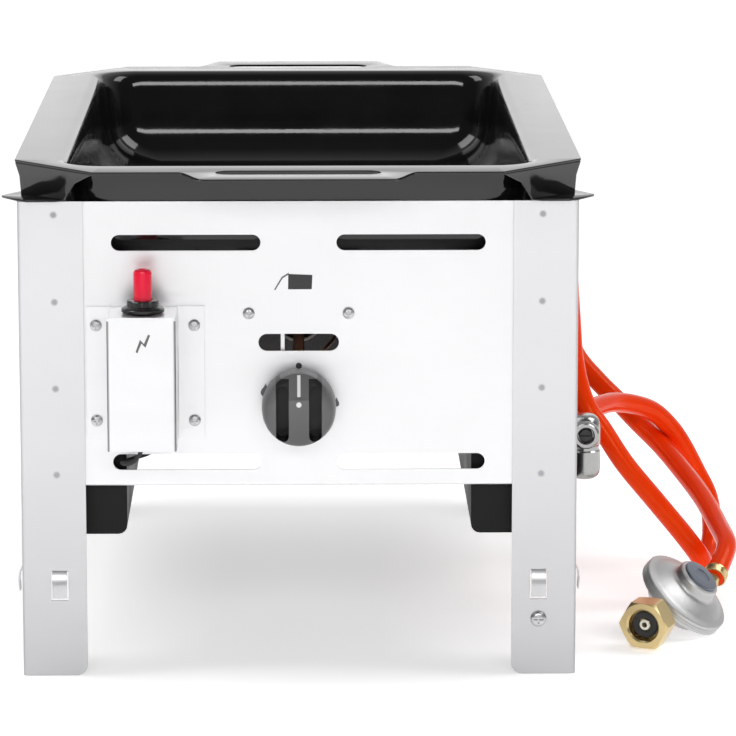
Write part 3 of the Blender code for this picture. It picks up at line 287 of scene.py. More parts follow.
def arc(centre, radius, start, end, steps):
    return [
        (centre[0] + radius * math.cos(math.radians(start + (end - start) * k / steps)),
         centre[1] + radius * math.sin(math.radians(start + (end - start) * k / steps)))
        for k in range(steps + 1)
    ]


def worked(node, body, finish, slot, width=0.00025, segments=2, angle=28, smooth=35):
    """A CAD node's own shape with its facets merged and its edges rounded."""
    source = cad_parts[node]
    made = source.copy()
    made.data = source.data.copy()
    made.parent = None
    made.matrix_world = Matrix.Identity(4)
    bpy.context.scene.collection.objects.link(made)
    open_mesh(made)
    bpy.ops.mesh.select_all(action="SELECT")
    bpy.ops.mesh.remove_doubles(threshold=0.00001)
    bpy.ops.mesh.dissolve_limited(angle_limit=math.radians(0.7))
    bpy.ops.object.mode_set(mode="OBJECT")
    if width:
        round_edges(made, width, segments, angle)
    soften(made, smooth)
    flats = made.modifiers.new("Flat faces", "WEIGHTED_NORMAL")
    flats.keep_sharp = True
    flats.weight = 80
    apply_all(made)
    return done(made, f"{node}_formed", body, finish, slot, node)


# ------------------------------------------------------------ effects that finishes share

def add_nodes(tree):
    """A short way to add nodes and links to a tree."""
    def add(kind, inputs=None, **settings):
        node = tree.nodes.new(kind)
        for name, value in settings.items():
            setattr(node, name, value)
        for name, value in (inputs or {}).items():
            if isinstance(value, bpy.types.NodeSocket):
                tree.links.new(value, node.inputs[name])
            else:
                node.inputs[name].default_value = value
        return node
    return add


def reckon(add, operation, *values, **settings):
    """The result of one sum on a surface."""
    return add("ShaderNodeMath", dict(enumerate(values)), operation=operation, **settings).outputs[0]


def spread(add, value, start, end, low=0.0, high=1.0):
    """A value's range laid over another range and held at its ends."""
    return add("ShaderNodeMapRange", {"Value": value, "From Min": start, "From Max": end,
                                      "To Min": low, "To Max": high}).outputs["Result"]


def surface_place(add):
    """How far along X, Y and Z a point of the surface lies."""
    place = add("ShaderNodeTexCoord")
    return add("ShaderNodeSeparateXYZ", {"Vector": place.outputs["Object"]}).outputs


def effect(name, inputs, outputs):
    """An empty node group with its sockets."""
    tree = bpy.data.node_groups.new(name, "ShaderNodeTree")
    for label, value in inputs:
        socket = tree.interface.new_socket(label, in_out="INPUT", socket_type="NodeSocketFloat")
        socket.default_value = value
    for label in outputs:
        tree.interface.new_socket(label, in_out="OUTPUT", socket_type="NodeSocketFloat")
    add = add_nodes(tree)
    return tree, add, add("NodeGroupInput"), add("NodeGroupOutput")


def grain_effect():
    """Fine rolling grain drawn out along X, with broad cloudy patches over it."""
    tree, add, given, made = effect("rolled grain", [("Fineness", 900.0), ("Stretch", 0.02)], ["Grain", "Cloud"])
    place = add("ShaderNodeTexCoord")
    along = add("ShaderNodeCombineXYZ", {"X": given.outputs["Stretch"], "Y": 1.0, "Z": 1.0})
    drawn = add("ShaderNodeVectorMath", {0: place.outputs["Object"], 1: along.outputs[0]}, operation="MULTIPLY")
    grain = add("ShaderNodeTexNoise", {"Vector": drawn.outputs[0], "Scale": given.outputs["Fineness"], "Detail": 3.0})
    cloud = add("ShaderNodeTexNoise", {"Vector": place.outputs["Object"], "Scale": 14.0, "Detail": 4.0})
    tree.links.new(grain.outputs["Fac"], made.inputs["Grain"])
    tree.links.new(cloud.outputs["Fac"], made.inputs["Cloud"])
    return tree


def mottle_effect():
    """A fine pebbled surface, with larger soft unevenness and a few scuffed spots."""
    tree, add, given, made = effect("mottled surface", [("Fineness", 400.0), ("Scuffs", 0.3)],
                                    ["Pebble", "Uneven", "Scuff"])
    place = add("ShaderNodeTexCoord")
    pebble = add("ShaderNodeTexNoise", {"Vector": place.outputs["Object"], "Scale": given.outputs["Fineness"],
                                        "Detail": 2.0})
    uneven = add("ShaderNodeTexNoise", {"Vector": place.outputs["Object"], "Scale": 30.0, "Detail": 5.0})
    spots = add("ShaderNodeTexNoise", {"Vector": place.outputs["Object"], "Scale": 95.0, "Detail": 8.0,
                                       "Roughness": 0.7})
    share = reckon(add, "MULTIPLY", spread(add, spots.outputs["Fac"], 0.60, 0.72), given.outputs["Scuffs"])
    tree.links.new(pebble.outputs["Fac"], made.inputs["Pebble"])
    tree.links.new(uneven.outputs["Fac"], made.inputs["Uneven"])
    tree.links.new(share, made.inputs["Scuff"])
    return tree


GRAIN = grain_effect()
MOTTLE = mottle_effect()


def new_finish(name, roughness, metallic):
    made = bpy.data.materials.new(name)
    made.use_nodes = True
    shader = made.node_tree.nodes["Principled BSDF"]
    shader.inputs["Metallic"].default_value = metallic
    shader.inputs["Roughness"].default_value = roughness
    return made, made.node_tree, add_nodes(made.node_tree), shader


def shade_between(add, tree, shader, factor, dark, light):
    """Base colour between two shades, by a factor that changes over the surface."""
    mix = add("ShaderNodeMix", {"Factor": factor}, data_type="RGBA")
    mix.inputs["A"].default_value = (*dark, 1)
    mix.inputs["B"].default_value = (*light, 1)
    tree.links.new(mix.outputs["Result"], shader.inputs["Base Color"])


def darken(add, tree, shader, parts, shade):
    """One more shade over the base colour, where a mask says."""
    under = shader.inputs["Base Color"].links[0].from_socket
    mix = add("ShaderNodeMix", {"Factor": parts}, data_type="RGBA")
    tree.links.new(under, mix.inputs[6])
    mix.inputs[7].default_value = (*shade, 1)
    tree.links.new(mix.outputs["Result"], shader.inputs["Base Color"])


def all_of(add, *masks):
    """A mask that holds only where all of its masks do."""
    joined = masks[0]
    for mask in masks[1:]:
        joined = reckon(add, "MULTIPLY", joined, mask)
    return joined


def rough_between(add, tree, shader, factor, low, high):
    tree.links.new(spread(add, factor, 0.3, 0.7, low, high), shader.inputs["Roughness"])


def bump(add, tree, shader, height, strength, distance):
    relief = add("ShaderNodeBump", {"Height": height, "Strength": strength, "Distance": distance})
    tree.links.new(relief.outputs["Normal"], shader.inputs["Normal"])


def steel_finish(name, dark, light, low, high, fineness=900.0, stretch=0.02, relief=0.03, metallic=1.0):
    made, tree, add, shader = new_finish(name, low, metallic)
    grain = add("ShaderNodeGroup", node_tree=GRAIN)
    grain.inputs["Fineness"].default_value = fineness
    grain.inputs["Stretch"].default_value = stretch
    shade_between(add, tree, shader, grain.outputs["Cloud"], dark, light)
    rough_between(add, tree, shader, grain.outputs["Grain"], low, high)
    bump(add, tree, shader, grain.outputs["Grain"], relief, 0.0002)
    return made


def leg_steel_finish():
    """The side panels' steel: painted shade makes it darker than the front panel's steel, and darker still towards the
    floor; faint darker spot-weld dimples run down each leg, and painted shade lies along the legs' bends.
    """
    made, tree, add, shader = new_finish("side panel steel", 0.3, 1.0)
    grain = add("ShaderNodeGroup", node_tree=GRAIN)
    x, y, z = surface_place(add)
    out = reckon(add, "ABSOLUTE", x)
    lowest_weld, weld_pitch, weld_centre = 0.0995, 0.0535, 0.0268
    step = reckon(add, "MODULO", reckon(add, "SUBTRACT", z, lowest_weld), weld_pitch)
    flat = add("ShaderNodeCombineXYZ", {"X": reckon(add, "SUBTRACT", out, 0.1480),
                                        "Y": reckon(add, "SUBTRACT", step, weld_centre)})
    reach = add("ShaderNodeVectorMath", {0: flat.outputs[0]}, operation="LENGTH")
    dimple = spread(add, reach.outputs["Value"], 0.0012, 0.0026, 1.0, 0.0)
    weld = all_of(add, dimple, reckon(add, "GREATER_THAN", z, 0.100))
    cloud = reckon(add, "MULTIPLY", grain.outputs["Cloud"], 0.25)
    # painted shade: darker than the front panel's steel and darker still towards the floor, with the random cloudy tone
    # laid over it
    height_shade_and_cloud = reckon(add, "ADD", spread(add, z, 0.0, 0.30), cloud, use_clamp=True)
    shade_between(add, tree, shader, height_shade_and_cloud, (0.50, 0.50, 0.51), (0.74, 0.74, 0.75))
    # painted shade along the bend at each leg's corner; the weld dimples are darkened too
    bend = spread(add, out, 0.1684, 0.1696, 0.0, 0.8)
    corner = reckon(add, "GREATER_THAN", reckon(add, "ABSOLUTE", y), 0.2398)
    surface_marks = reckon(add, "MAXIMUM", all_of(add, bend, corner), weld)
    darken(add, tree, shader, surface_marks, (0.36, 0.36, 0.38))
    rough_between(add, tree, shader, grain.outputs["Grain"], 0.31, 0.35)
    height = reckon(add, "ADD", reckon(add, "MULTIPLY", weld, -3.0), grain.outputs["Grain"])
    bump(add, tree, shader, height, 0.010, 0.0002)
    return made


def enamel_finish():
    """Glossy black enamel with a slight orange peel."""
    made, tree, add, shader = new_finish("black enamel", 0.12, 0.0)
    mottle = add("ShaderNodeGroup", node_tree=MOTTLE)
    mottle.inputs["Fineness"].default_value = 260.0
    shade_between(add, tree, shader, mottle.outputs["Uneven"], (0.005, 0.005, 0.0052), (0.010, 0.010, 0.0103))
    rough_between(add, tree, shader, mottle.outputs["Uneven"], 0.07, 0.13)
    bump(add, tree, shader, mottle.outputs["Pebble"], 0.06, 0.0004)
    shader.inputs["Specular IOR Level"].default_value = 0.55
    return made


def moulded_finish(name, dark, light, low, high, fineness=700.0, relief=0.15, scuffs=0.3):
    """Moulded plastic, paint or rubber with a fine surface and a few dull scuffs."""
    made, tree, add, shader = new_finish(name, low, 0.0)
    mottle = add("ShaderNodeGroup", node_tree=MOTTLE)
    mottle.inputs["Fineness"].default_value = fineness
    mottle.inputs["Scuffs"].default_value = scuffs
    shade_between(add, tree, shader, mottle.outputs["Uneven"], dark, light)
    surface_marks = reckon(add, "ADD", mottle.outputs["Uneven"], mottle.outputs["Scuff"])
    rough_between(add, tree, shader, surface_marks, low, high)
    bump(add, tree, shader, mottle.outputs["Pebble"], relief, 0.0002)
    return made


def cast_finish(name, dark, light, low, high, relief=0.25, fineness=500.0):
    """Cast or plated metal with a pebbled surface and dull spots."""
    made = moulded_finish(name, dark, light, low, high, fineness, relief)
    made.node_tree.nodes["Principled BSDF"].inputs["Metallic"].default_value = 1.0
    return made


def hose_finish():
    """Glossy orange-red rubber, a little dustier in patches."""
    made = moulded_finish("orange rubber", (0.88, 0.034, 0.002), (0.96, 0.056, 0.004), 0.15, 0.26, 900.0, 0.06)
    shader = made.node_tree.nodes["Principled BSDF"]
    shader.inputs["Specular IOR Level"].default_value = 0.35
    shader.inputs["Specular Tint"].default_value = (1, 0.45, 0.18, 1)
    return made


def box_steel_finish():
    """The igniter box's steel, with painted shade along the two bends of its front."""
    made = steel_finish("igniter box steel", (0.80, 0.80, 0.81), (0.86, 0.86, 0.87), 0.28, 0.38, metallic=0.8)
    tree = made.node_tree
    add = add_nodes(tree)
    x, y, z = surface_place(add)
    low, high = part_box("igniter_bracket")
    box_middle = 0.09425
    out = reckon(add, "ABSOLUTE", reckon(add, "ADD", x, box_middle))
    # painted shade: a dark line along each bend of the box's front
    bends = all_of(add, spread(add, out, 0.0190, 0.0202), reckon(add, "LESS_THAN", out, 0.0215),
                   reckon(add, "LESS_THAN", y, low.y + 0.0016), reckon(add, "LESS_THAN", z, high.z - 0.0022))
    darken(add, tree, tree.nodes["Principled BSDF"], bends, (0.16, 0.16, 0.165))
    return made


def knob_finish():
    """The knob's grey moulding, with painted shade in its deep grooves and low on its grip."""
    made = moulded_finish("knob plastic", (0.105, 0.105, 0.106), (0.165, 0.165, 0.166), 0.34, 0.48, 1100.0)
    tree = made.node_tree
    add = add_nodes(tree)
    x, y, z = surface_place(add)
    front = KNOB_PLACE.y - KNOB_DEPTH
    out = reckon(add, "ABSOLUTE", x)
    rise = reckon(add, "SUBTRACT", z, KNOB_PLACE.z)
    # painted shade in the bottom of each finger groove
    grooves = all_of(add, spread(add, y, front + 0.0012, front + 0.0045), reckon(add, "LESS_THAN", out, 0.0140),
                     reckon(add, "LESS_THAN", reckon(add, "ABSOLUTE", rise), 0.0194),
                     reckon(add, "GREATER_THAN", out, 0.0060))
    # painted shade that darkens the grip towards its bottom
    low = spread(add, rise, -0.0225, 0.004, 0.45, 0.0)
    shade = reckon(add, "MAXIMUM", grooves, low)
    darken(add, tree, tree.nodes["Principled BSDF"], shade, (0.008, 0.008, 0.008))
    return made


panel_steel = steel_finish("panel steel", (0.84, 0.84, 0.85), (0.89, 0.89, 0.90), 0.32, 0.40, metallic=0.7)
side_steel = leg_steel_finish()
box_steel = box_steel_finish()
enamel = enamel_finish()
zinc = cast_finish("zinc plate", (0.50, 0.50, 0.51), (0.66, 0.66, 0.67), 0.28, 0.42)
burner_steel = steel_finish("burner steel", (0.42, 0.41, 0.40), (0.56, 0.55, 0.53), 0.35, 0.5, 500.0, 1.0)
# dark steel for the sheet of painted shade behind the view slot
dark_steel = steel_finish("dark steel for painted shade", (0.06, 0.06, 0.06), (0.12, 0.11, 0.11), 0.45, 0.6, 400.0, 1.0)
dull_enamel = moulded_finish("dull black enamel", (0.004, 0.004, 0.004), (0.010, 0.010, 0.010), 0.42, 0.58, 260.0, 0.08)
dull_enamel.node_tree.nodes["Principled BSDF"].inputs["Specular IOR Level"].default_value = 0.2
black_plastic = moulded_finish("black plastic", (0.018, 0.018, 0.019), (0.030, 0.030, 0.031), 0.34, 0.48)
knob_plastic = knob_finish()
gloss_plastic = moulded_finish("glossy black plastic", (0.012, 0.012, 0.012), (0.020, 0.020, 0.020), 0.12, 0.22)
white_paint = moulded_finish("white paint", (0.78, 0.78, 0.77), (0.86, 0.86, 0.85), 0.38, 0.5, 900.0, 0.05)
grey_print = moulded_finish("grey print", (0.10, 0.10, 0.10), (0.16, 0.16, 0.16), 0.5, 0.6, 900.0, 0.03)
dark_print = moulded_finish("dark print", (0.020, 0.020, 0.020), (0.040, 0.040, 0.040), 0.45, 0.6, 900.0, 0.03)
red_plastic = moulded_finish("red plastic", (0.82, 0.004, 0.036), (0.92, 0.008, 0.052), 0.20, 0.32, 800.0, 0.05, 0.1)
brass = cast_finish("brass", (0.62, 0.47, 0.22), (0.76, 0.60, 0.32), 0.24, 0.40, 0.10)
die_cast = cast_finish("die-cast metal", (0.50, 0.50, 0.50), (0.62, 0.62, 0.62), 0.42, 0.54)
nickel = cast_finish("nickel plate", (0.30, 0.30, 0.30), (0.46, 0.46, 0.45), 0.18, 0.32, 0.08)
pale_brass = cast_finish("pale brass", (0.62, 0.58, 0.48), (0.76, 0.73, 0.64), 0.22, 0.34, 0.06)
cap_paint = cast_finish("blue-grey cap", (0.19, 0.21, 0.26), (0.27, 0.29, 0.33), 0.34, 0.5, 0.1)
orange_rubber = hose_finish()
black_rubber = moulded_finish("black rubber", (0.014, 0.014, 0.014), (0.028, 0.027, 0.026), 0.55, 0.72)
copper = cast_finish("copper pipe", (0.60, 0.30, 0.19), (0.76, 0.42, 0.28), 0.25, 0.42, 0.08)
ceramic = moulded_finish("white ceramic", (0.72, 0.70, 0.65), (0.84, 0.82, 0.77), 0.2, 0.3, 600.0, 0.04)


# ------------------------------------------------------------ hose

def smooth_route(points, spacing):
    """Points a little apart along one smooth curve through a route's own points."""
    fine = []
    for i in range(len(points) - 1):
        a = Vector(points[max(i - 1, 0)])
        b = Vector(points[i])
        c = Vector(points[i + 1])
        d = Vector(points[min(i + 2, len(points) - 1)])
        for k in range(16):
            t = k / 16
            fine.append(0.5 * (2 * b + (c - a) * t + (2 * a - 5 * b + 4 * c - d) * t**2
                               + (3 * b - a - 3 * c + d) * t**3))
    fine.append(Vector(points[-1]))
    length = sum((b - a).length for a, b in zip(fine, fine[1:]))
    steps = round(length / spacing)
    out = [fine[0]]
    walked = 0
    for a, b in zip(fine, fine[1:]):
        reach = (b - a).length
        while len(out) < steps and walked + reach >= length * len(out) / steps:
            out.append(a.lerp(b, (length * len(out) / steps - walked) / reach))
        walked += reach
    out.append(fine[-1])
    return out, length


def add_hose():
    """The hose on its route from the inlet's union nut to the regulator."""
    route = [Vector(p) for p in HOSE_POINTS] + [HOSE_END + HOSE_LEAD * step for step in (0.016, 0.008, 0)]
    points, length = smooth_route(route, 0.004)
    curve = bpy.data.curves.new("gas_hose_rubber", "CURVE")
    curve.dimensions = "3D"
    curve.bevel_depth = HOSE_DIAMETER / 2
    curve.bevel_resolution = 7
    curve.use_fill_caps = True
    spline = curve.splines.new("POLY")
    spline.points.add(len(points) - 1)
    for point, place in zip(spline.points, points):
        point.co = (*place, 1)
        point.radius = 1
    spline.use_smooth = True
    hose = bpy.data.objects.new("gas_hose_rubber", curve)
    bpy.context.scene.collection.objects.link(hose)
    curve.materials.append(orange_rubber)
    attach(hose, "body")
    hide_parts("gas_hose")


def crimped(name, place, direction, length, finish, slot, node):
    """A ferrule with three crimped grooves round it."""
    inner = HOSE_DIAMETER / 2 + GAP
    outer = inner + 0.0009
    profile = [(outer - 0.0003, 0), (outer, 0.0003)]
    for k in range(3):
        level = length * (0.25 + 0.22 * k)
        profile += [(outer, level - 0.0007), (outer - 0.0005, level), (outer, level + 0.0007)]
    profile += [(outer, length - 0.0003), (outer - 0.0003, length), (inner, length), (inner, 0)]
    return done(turned(profile, place, direction, 64, bored=True), name, "body", finish, slot, node)


# ------------------------------------------------------------ regulator

def regulator_axes():
    """The regulator's own axes: along its inlet, and through its bonnet."""
    inlet = (NUT_FACE - DISC_CENTRE).normalized()
    up = (DISC_TILT - inlet * DISC_TILT.dot(inlet)).normalized()
    return inlet, up


def hexagon(start, end, flats, bore, chamfer=0.0012):
    """A hexagon nut with chamfered corners, bored through."""
    start = Vector(start)
    end = Vector(end)
    length = (end - start).length
    corner = flats / math.sqrt(3)
    let_go()
    bpy.ops.mesh.primitive_cylinder_add(vertices=6, radius=corner, depth=length, rotation=(0, 0, math.radians(30)))
    nut = settle(bpy.context.object)
    open_mesh(nut)
    select_where(nut, "edges", lambda edge: abs(edge.verts[0].co.z - edge.verts[1].co.z) > length / 2)
    bpy.ops.mesh.bevel(offset=0.0004, segments=2, affect="EDGES")
    bpy.ops.object.mode_set(mode="OBJECT")
    half = length / 2
    trim = turned([(flats / 2 - 0.0002, -half - 0.0001), (corner, -half + chamfer), (corner, half - chamfer),
                   (flats / 2 - 0.0002, half + 0.0001)], (0, 0, 0), (0, 0, 1), 72)
    carve(nut, trim, "INTERSECT")
    carve(nut, rod((0, 0, -length), (0, 0, length), bore, 64))
    aim(nut, (start + end) / 2, end - start)
    return soften(nut, 24)


def add_regulator():
    """The regulator's bonnet, cap, seam, inlet stem, seal and cylinder nut, round its worked CAD pieces."""
    inlet, up = regulator_axes()
    r = DISC_RADIUS
    c = DISC_CENTRE
    below = c - up * STEM_DROP

    bonnet = turned(
        [(r, 0.0009), (r, 0.0030), (r - 0.0006, 0.0036), (r - 0.0022, 0.0040), (r - 0.0034, 0.0042),
         (0.0255, 0.0054), (0.0225, 0.0070), (0.0195, 0.0083), (0.0172, 0.0092), (0.0155, 0.0102),
         (0.0148, 0.0114), (0.0146, 0.0128), (0.0146, 0.0156), (0.0143, 0.0166), (0.0136, 0.0173),
         (0.0128, 0.0175), (0.0101, 0.0175), (0.0100, 0.0050), (0.0190, 0.0048), (0.0200, 0.0009)],
        c, up, 96, bored=True)
    done(bonnet, "regulator_bonnet_cast", "body", die_cast, "die_cast_metal", "regulator_bonnet")

    cap = turned([(0.0095, 0.0152), (0.0095, 0.0177), (0.0122, 0.0177), (0.0122, 0.0185), (0.0117, 0.0190),
                  (0.0108, 0.0192), (0.0060, 0.0192), (0.0054, 0.0187), (0.0030, 0.0186)], c, up, 72)
    done(cap, "regulator_cap_painted", "body", cap_paint, "blue_grey_cap", "regulator_cap")

    seam = turned([(r - 0.0004, -0.0009), (r + 0.0001, -0.0006), (r + 0.0001, 0.0006), (r - 0.0004, 0.0009),
                   (r - 0.0022, 0.0008), (r - 0.0022, -0.0008)], c, up, 96, bored=True)
    done(seam, "regulator_seam", "body", die_cast, "die_cast_metal")
    worked("regulator_lower_shell", "body", die_cast, "die_cast_metal", 0.0004, 3, 30, 40)
    worked("regulator_diaphragm", "body", black_rubber, "black_rubber", 0.0001)
    worked("regulator_spring", "body", zinc, "zinc_plated_steel", 0)

    reach = (NUT_FACE - DISC_CENTRE).length
    start = r + 0.0015 + GAP
    head = reach - 0.0085
    tip = reach - 0.0030
    stem = turned(
        [(0.0051, start), (0.00525, start + 0.0003), (0.00525, head - 0.0006), (0.0056, head), (0.0086, head),
         (0.0090, head + 0.0004), (0.0090, head + 0.0026), (0.0086, head + 0.0030), (0.0040, head + 0.0030),
         (0.00375, head + 0.0034), (0.00375, tip - 0.0005), (0.0032, tip), (0.0017, tip), (0.0015, tip - 0.0003),
         (0.0015, head - 0.006)], below, inlet, 64)
    done(stem, "regulator_inlet_stem_brass", "body", pale_brass, "brass", "regulator_inlet_stem")
    low = head + 0.0030 + GAP
    high = tip - 0.0004
    seal = turned([(0.0046, low), (0.0082, low), (0.0085, low + 0.0004), (0.0085, high - 0.0005), (0.0079, high),
                   (0.0048, high), (0.0042, high - 0.0004), (0.0042, low + 0.0004)], below, inlet, 64, bored=True)
    done(seal, "regulator_seal_ring", "body", black_rubber, "black_rubber", "regulator_seal")

    back = below + inlet * (reach - 0.016)
    front = below + inlet * reach
    nut = hexagon(back, front, 0.029, 0.0056, 0.0016)
    carve(nut, rod(below + inlet * (head - GAP), front + inlet * 0.01, 0.0098, 64))
    lead_in = turned([(0.0097, -0.0012), (0.0118, 0.0008), (0.0118, 0.003)], front, inlet, 64)
    carve(nut, lead_in)
    soften(nut, 30)
    done(nut, "cylinder_nut_brass", "nut", brass, "brass", "cylinder_nut")


# ------------------------------------------------------------ gas inlet

def add_inlet():
    """The inlet fitting on the right side: an elbow, its test screw, a union nut and a lock nut."""
    low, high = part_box("gas_inlet_elbow")
    centre = Vector((INLET_X, INLET_Y, 0))
    test = centre + Vector((0, 0, TEST_LEVEL))
    body = turned([(0.0050, 0.1010), (0.0068, 0.1016), (0.0086, 0.1030), (0.0097, 0.1052), (0.0100, 0.1075),
                   (0.0100, 0.1190), (0.0092, 0.1200), (0.0092, 0.1225), (0.0100, 0.1235), (0.0100, 0.1345),
                   (0.0096, 0.1375), (0.0084, 0.1402), (0.0066, 0.1418), (0.0048, 0.1424)], centre, (0, 0, 1), 72)
    carve(body, rod((low.x, INLET_Y, PIPE_LEVEL), (INLET_X, INLET_Y, PIPE_LEVEL), 0.006), "UNION")
    carve(body, rod((INLET_X, INLET_Y, HOSE_LEVEL), (INLET_X, high.y, HOSE_LEVEL), 0.007), "UNION")
    boss = turned([(0.0088, 0.002), (0.0088, 0.0128), (0.0080, 0.0144), (0.0074, 0.0150), (0.0056, 0.0150),
                   (0.0050, 0.0142), (0.0050, 0.0100)], test, (0, -1, 0), 64)
    carve(body, boss, "UNION")
    soften(round_edges(body, 0.0003, 2, 40), 35)
    done(body, "gas_inlet_elbow_cast", "body", nickel, "die_cast_metal", "gas_inlet_elbow")

    screw = turned([(0.0044, 0.0098), (0.0044, 0.0126), (0.0038, 0.0134)], test, (0, -1, 0), 48)
    face = INLET_Y - 0.0134
    carve(screw, block((0.1771, face - 0.002, 0.1305), (0.1859, face + 0.0012, 0.1315)))
    done(screw, "inlet_test_screw", "body", black_plastic, "die_cast_metal")

    start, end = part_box("hose_union_nut")
    nut = hexagon((INLET_X, start.y, HOSE_LEVEL), (INLET_X, end.y, HOSE_LEVEL), 0.019, 0.0045, 0.0009)
    done(nut, "hose_union_nut_brass", "body", nickel, "brass", "hose_union_nut")
    near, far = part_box("inlet_lock_nut")
    lock = hexagon((near.x, INLET_Y, PIPE_LEVEL), (far.x, INLET_Y, PIPE_LEVEL), 0.018, 0.0063, 0.0007)
    done(lock, "inlet_lock_nut_brass", "body", brass, "brass", "inlet_lock_nut")


# ------------------------------------------------------------ pan

def rim_outline():
    """The flange's outer edge: chamfered corners and a handle at each end."""
    x = RIM_WIDTH / 2
    y = RIM_DEPTH / 2
    quarter = arc((x - 0.003, y - 0.0585), 0.003, 0, 42, 3) + arc((x - 0.0512, y - 0.003), 0.003, 48, 90, 3)
    steps = 16
    for k in range(steps + 1):
        t = k / steps
        quarter.append((0.072 + (0.0555 - 0.072) * t, y + HANDLE_REACH * (1 - math.cos(math.pi * t)) / 2))
    top = quarter + [(-a, b) for a, b in reversed(quarter)]
    return top + [(-a, -b) for a, b in top]


def slot_outline(x, y, width, height, steps=10):
    """A slot with round ends."""
    r = height / 2
    right = arc((x + width / 2 - r, y), r, -90, 90, steps)
    left = arc((x - width / 2 + r, y), r, 90, 270, steps)
    return right + left


def basin_rings(middle):
    """How far in and how high each ring of the basin lies: its rolled edge, bend, wall, fillet and floor."""
    edge, roll, bend, fillet = -0.0030, 0.0062, 0.028, 0.032
    rings = [(-0.0045, middle), (edge, middle)]
    for k in range(1, 6):
        turn = math.radians(70 * k / 5)
        rings.append((edge + roll * math.sin(turn), middle - roll * (1 - math.cos(turn))))
    wide, low = rings[-1]
    steep = math.radians(20)
    for k in range(1, 6):
        lean = math.radians(20 - 3 * k)
        rings.append((wide + bend * (math.cos(lean) - math.cos(steep)),
                      low - bend * (math.sin(steep) - math.sin(lean))))
    slope = math.tan(WALL_SLOPE)
    start, under = rings[-1]
    top = PAN_FLOOR + fillet * (1 - math.sin(WALL_SLOPE))
    for low in (under - 0.002, under - 0.008, top + 0.004, top):
        rings.append((start + (under - low) * slope, low))
    wide = rings[-1][0]
    for k in range(1, 15):
        lean = math.radians(5 + 85 * k / 14)
        rings.append((wide + fillet * (math.cos(WALL_SLOPE) - math.cos(lean)),
                      PAN_FLOOR + fillet * (1 - math.sin(lean))))
    for further in (0.002, 0.004):
        rings.append((rings[-1][0] + further, PAN_FLOOR))
    return rings


def add_pan():
    """The roasting pan: a drawn basin grown down from its rim, and the flange filled in round it."""
    half_x = OPENING_WIDTH / 2
    half_y = OPENING_DEPTH / 2
    middle = RIM - ENAMEL / 2
    let_go()
    bpy.ops.mesh.primitive_plane_add(size=1, location=(0, 0, middle))
    basin = bpy.context.object
    basin.scale = (OPENING_WIDTH + 0.012, OPENING_DEPTH + 0.012, 1)
    settle(basin)
    open_mesh(basin)
    bpy.ops.mesh.select_all(action="SELECT")
    bpy.ops.mesh.bevel(offset=0.030, segments=14, affect="VERTICES")
    bpy.ops.mesh.select_all(action="SELECT")
    bpy.ops.mesh.delete(type="ONLY_FACE")
    bpy.ops.mesh.select_all(action="SELECT")
    inset, level = -0.006, middle
    for deeper, lower in basin_rings(middle):
        bpy.ops.mesh.extrude_region_move(TRANSFORM_OT_translate={"value": (0, 0, lower - level)})
        bpy.ops.transform.resize(value=((half_x - deeper) / (half_x - inset), (half_y - deeper) / (half_y - inset), 1))
        inset, level = deeper, lower
    bpy.ops.mesh.edge_face_add()
    bpy.ops.object.mode_set(mode="OBJECT")

    handle_y = RIM_DEPTH / 2 + 0.002
    handles = [slot_outline(0, y, 0.099, 0.017) for y in (handle_y, -handle_y)]
    rim = outline_curve("rim", [rim_outline(), *handles], "NONE")
    rim.location = (0, 0, middle)
    take(rim)
    bpy.ops.object.convert(target="MESH")
    settle(rim)
    take(basin)
    rim.select_set(True)
    bpy.ops.object.join()
    open_mesh(basin)
    select_where(basin, "edges", lambda e: min(v.co.z for v in e.verts) > middle - 0.00001 and len(e.link_faces) < 2)
    bpy.ops.mesh.fill(use_beauty=True)
    face_out(0.000005)
    thicken(basin, even=True)
    round_edges(basin, 0.0004, 3, 60)
    soften(basin, 40)
    done(basin, "roasting_pan_enamelled", "pan", enamel, "black_enamel", "roasting_pan")
    for side, sx in (("left", -1), ("right", 1)):
        for end, sy in (("front", -1), ("rear", 1)):
            add_pan_corner(f"pan_corner_{end}_{side}", sx, sy)


def add_pan_corner(name, sx, sy):
    """A folded skirt under the flange's corner, and the foot that lies on the body."""
    x = RIM_WIDTH / 2
    y = RIM_DEPTH / 2
    foot_z = BODY_TOP + GAP + ENAMEL / 2
    rows = [
        [(x - 0.0008, y - 0.096, RIM - ENAMEL), (x - 0.0008, y - 0.0565, RIM - ENAMEL),
         (x - 0.0500, y - 0.0010, RIM - ENAMEL)],
        [(0.1690, y - 0.093, RIM - 0.0095), (0.1690, 0.2185, RIM - 0.0095), (0.1340, 0.2530, RIM - 0.0095)],
        [(0.1680, y - 0.090, foot_z), (0.1680, 0.2200, foot_z), (0.1410, 0.2445, foot_z)],
    ]
    let_go()
    bpy.ops.mesh.primitive_grid_add(x_subdivisions=2, y_subdivisions=2, size=1)
    skirt = bpy.context.object
    ordered = sorted(skirt.data.vertices, key=lambda v: (-round(v.co.y, 3), v.co.x))
    for vertex, (a, b, z) in zip(ordered, [p for row in rows for p in row]):
        vertex.co = (sx * a, sy * b, z)
    open_mesh(skirt)
    face_out()
    thicken(skirt)
    round_edges(skirt, 0.0006, 3, 20)
    foot = [
        (0.1655, 0.1900), (0.1690, 0.2080), (0.1790, 0.2245), (0.1800, 0.2262), (0.1796, 0.2285), (0.1700, 0.2425),
        (0.1640, 0.2470), (0.1460, 0.2470), (0.1400, 0.2440), (0.1560, 0.2250),
    ]
    plate = outline_sheet([[(sx * a, sy * b) for a, b in foot]], ENAMEL)
    plate.location = (0, 0, foot_z)
    settle(plate)
    round_edges(plate, 0.0004, 2, 60)
    take(skirt)
    plate.select_set(True)
    bpy.ops.object.join()
    soften(skirt, 30)
    done(skirt, name, "pan", enamel, "black_enamel")


# ------------------------------------------------------------ knob and igniter

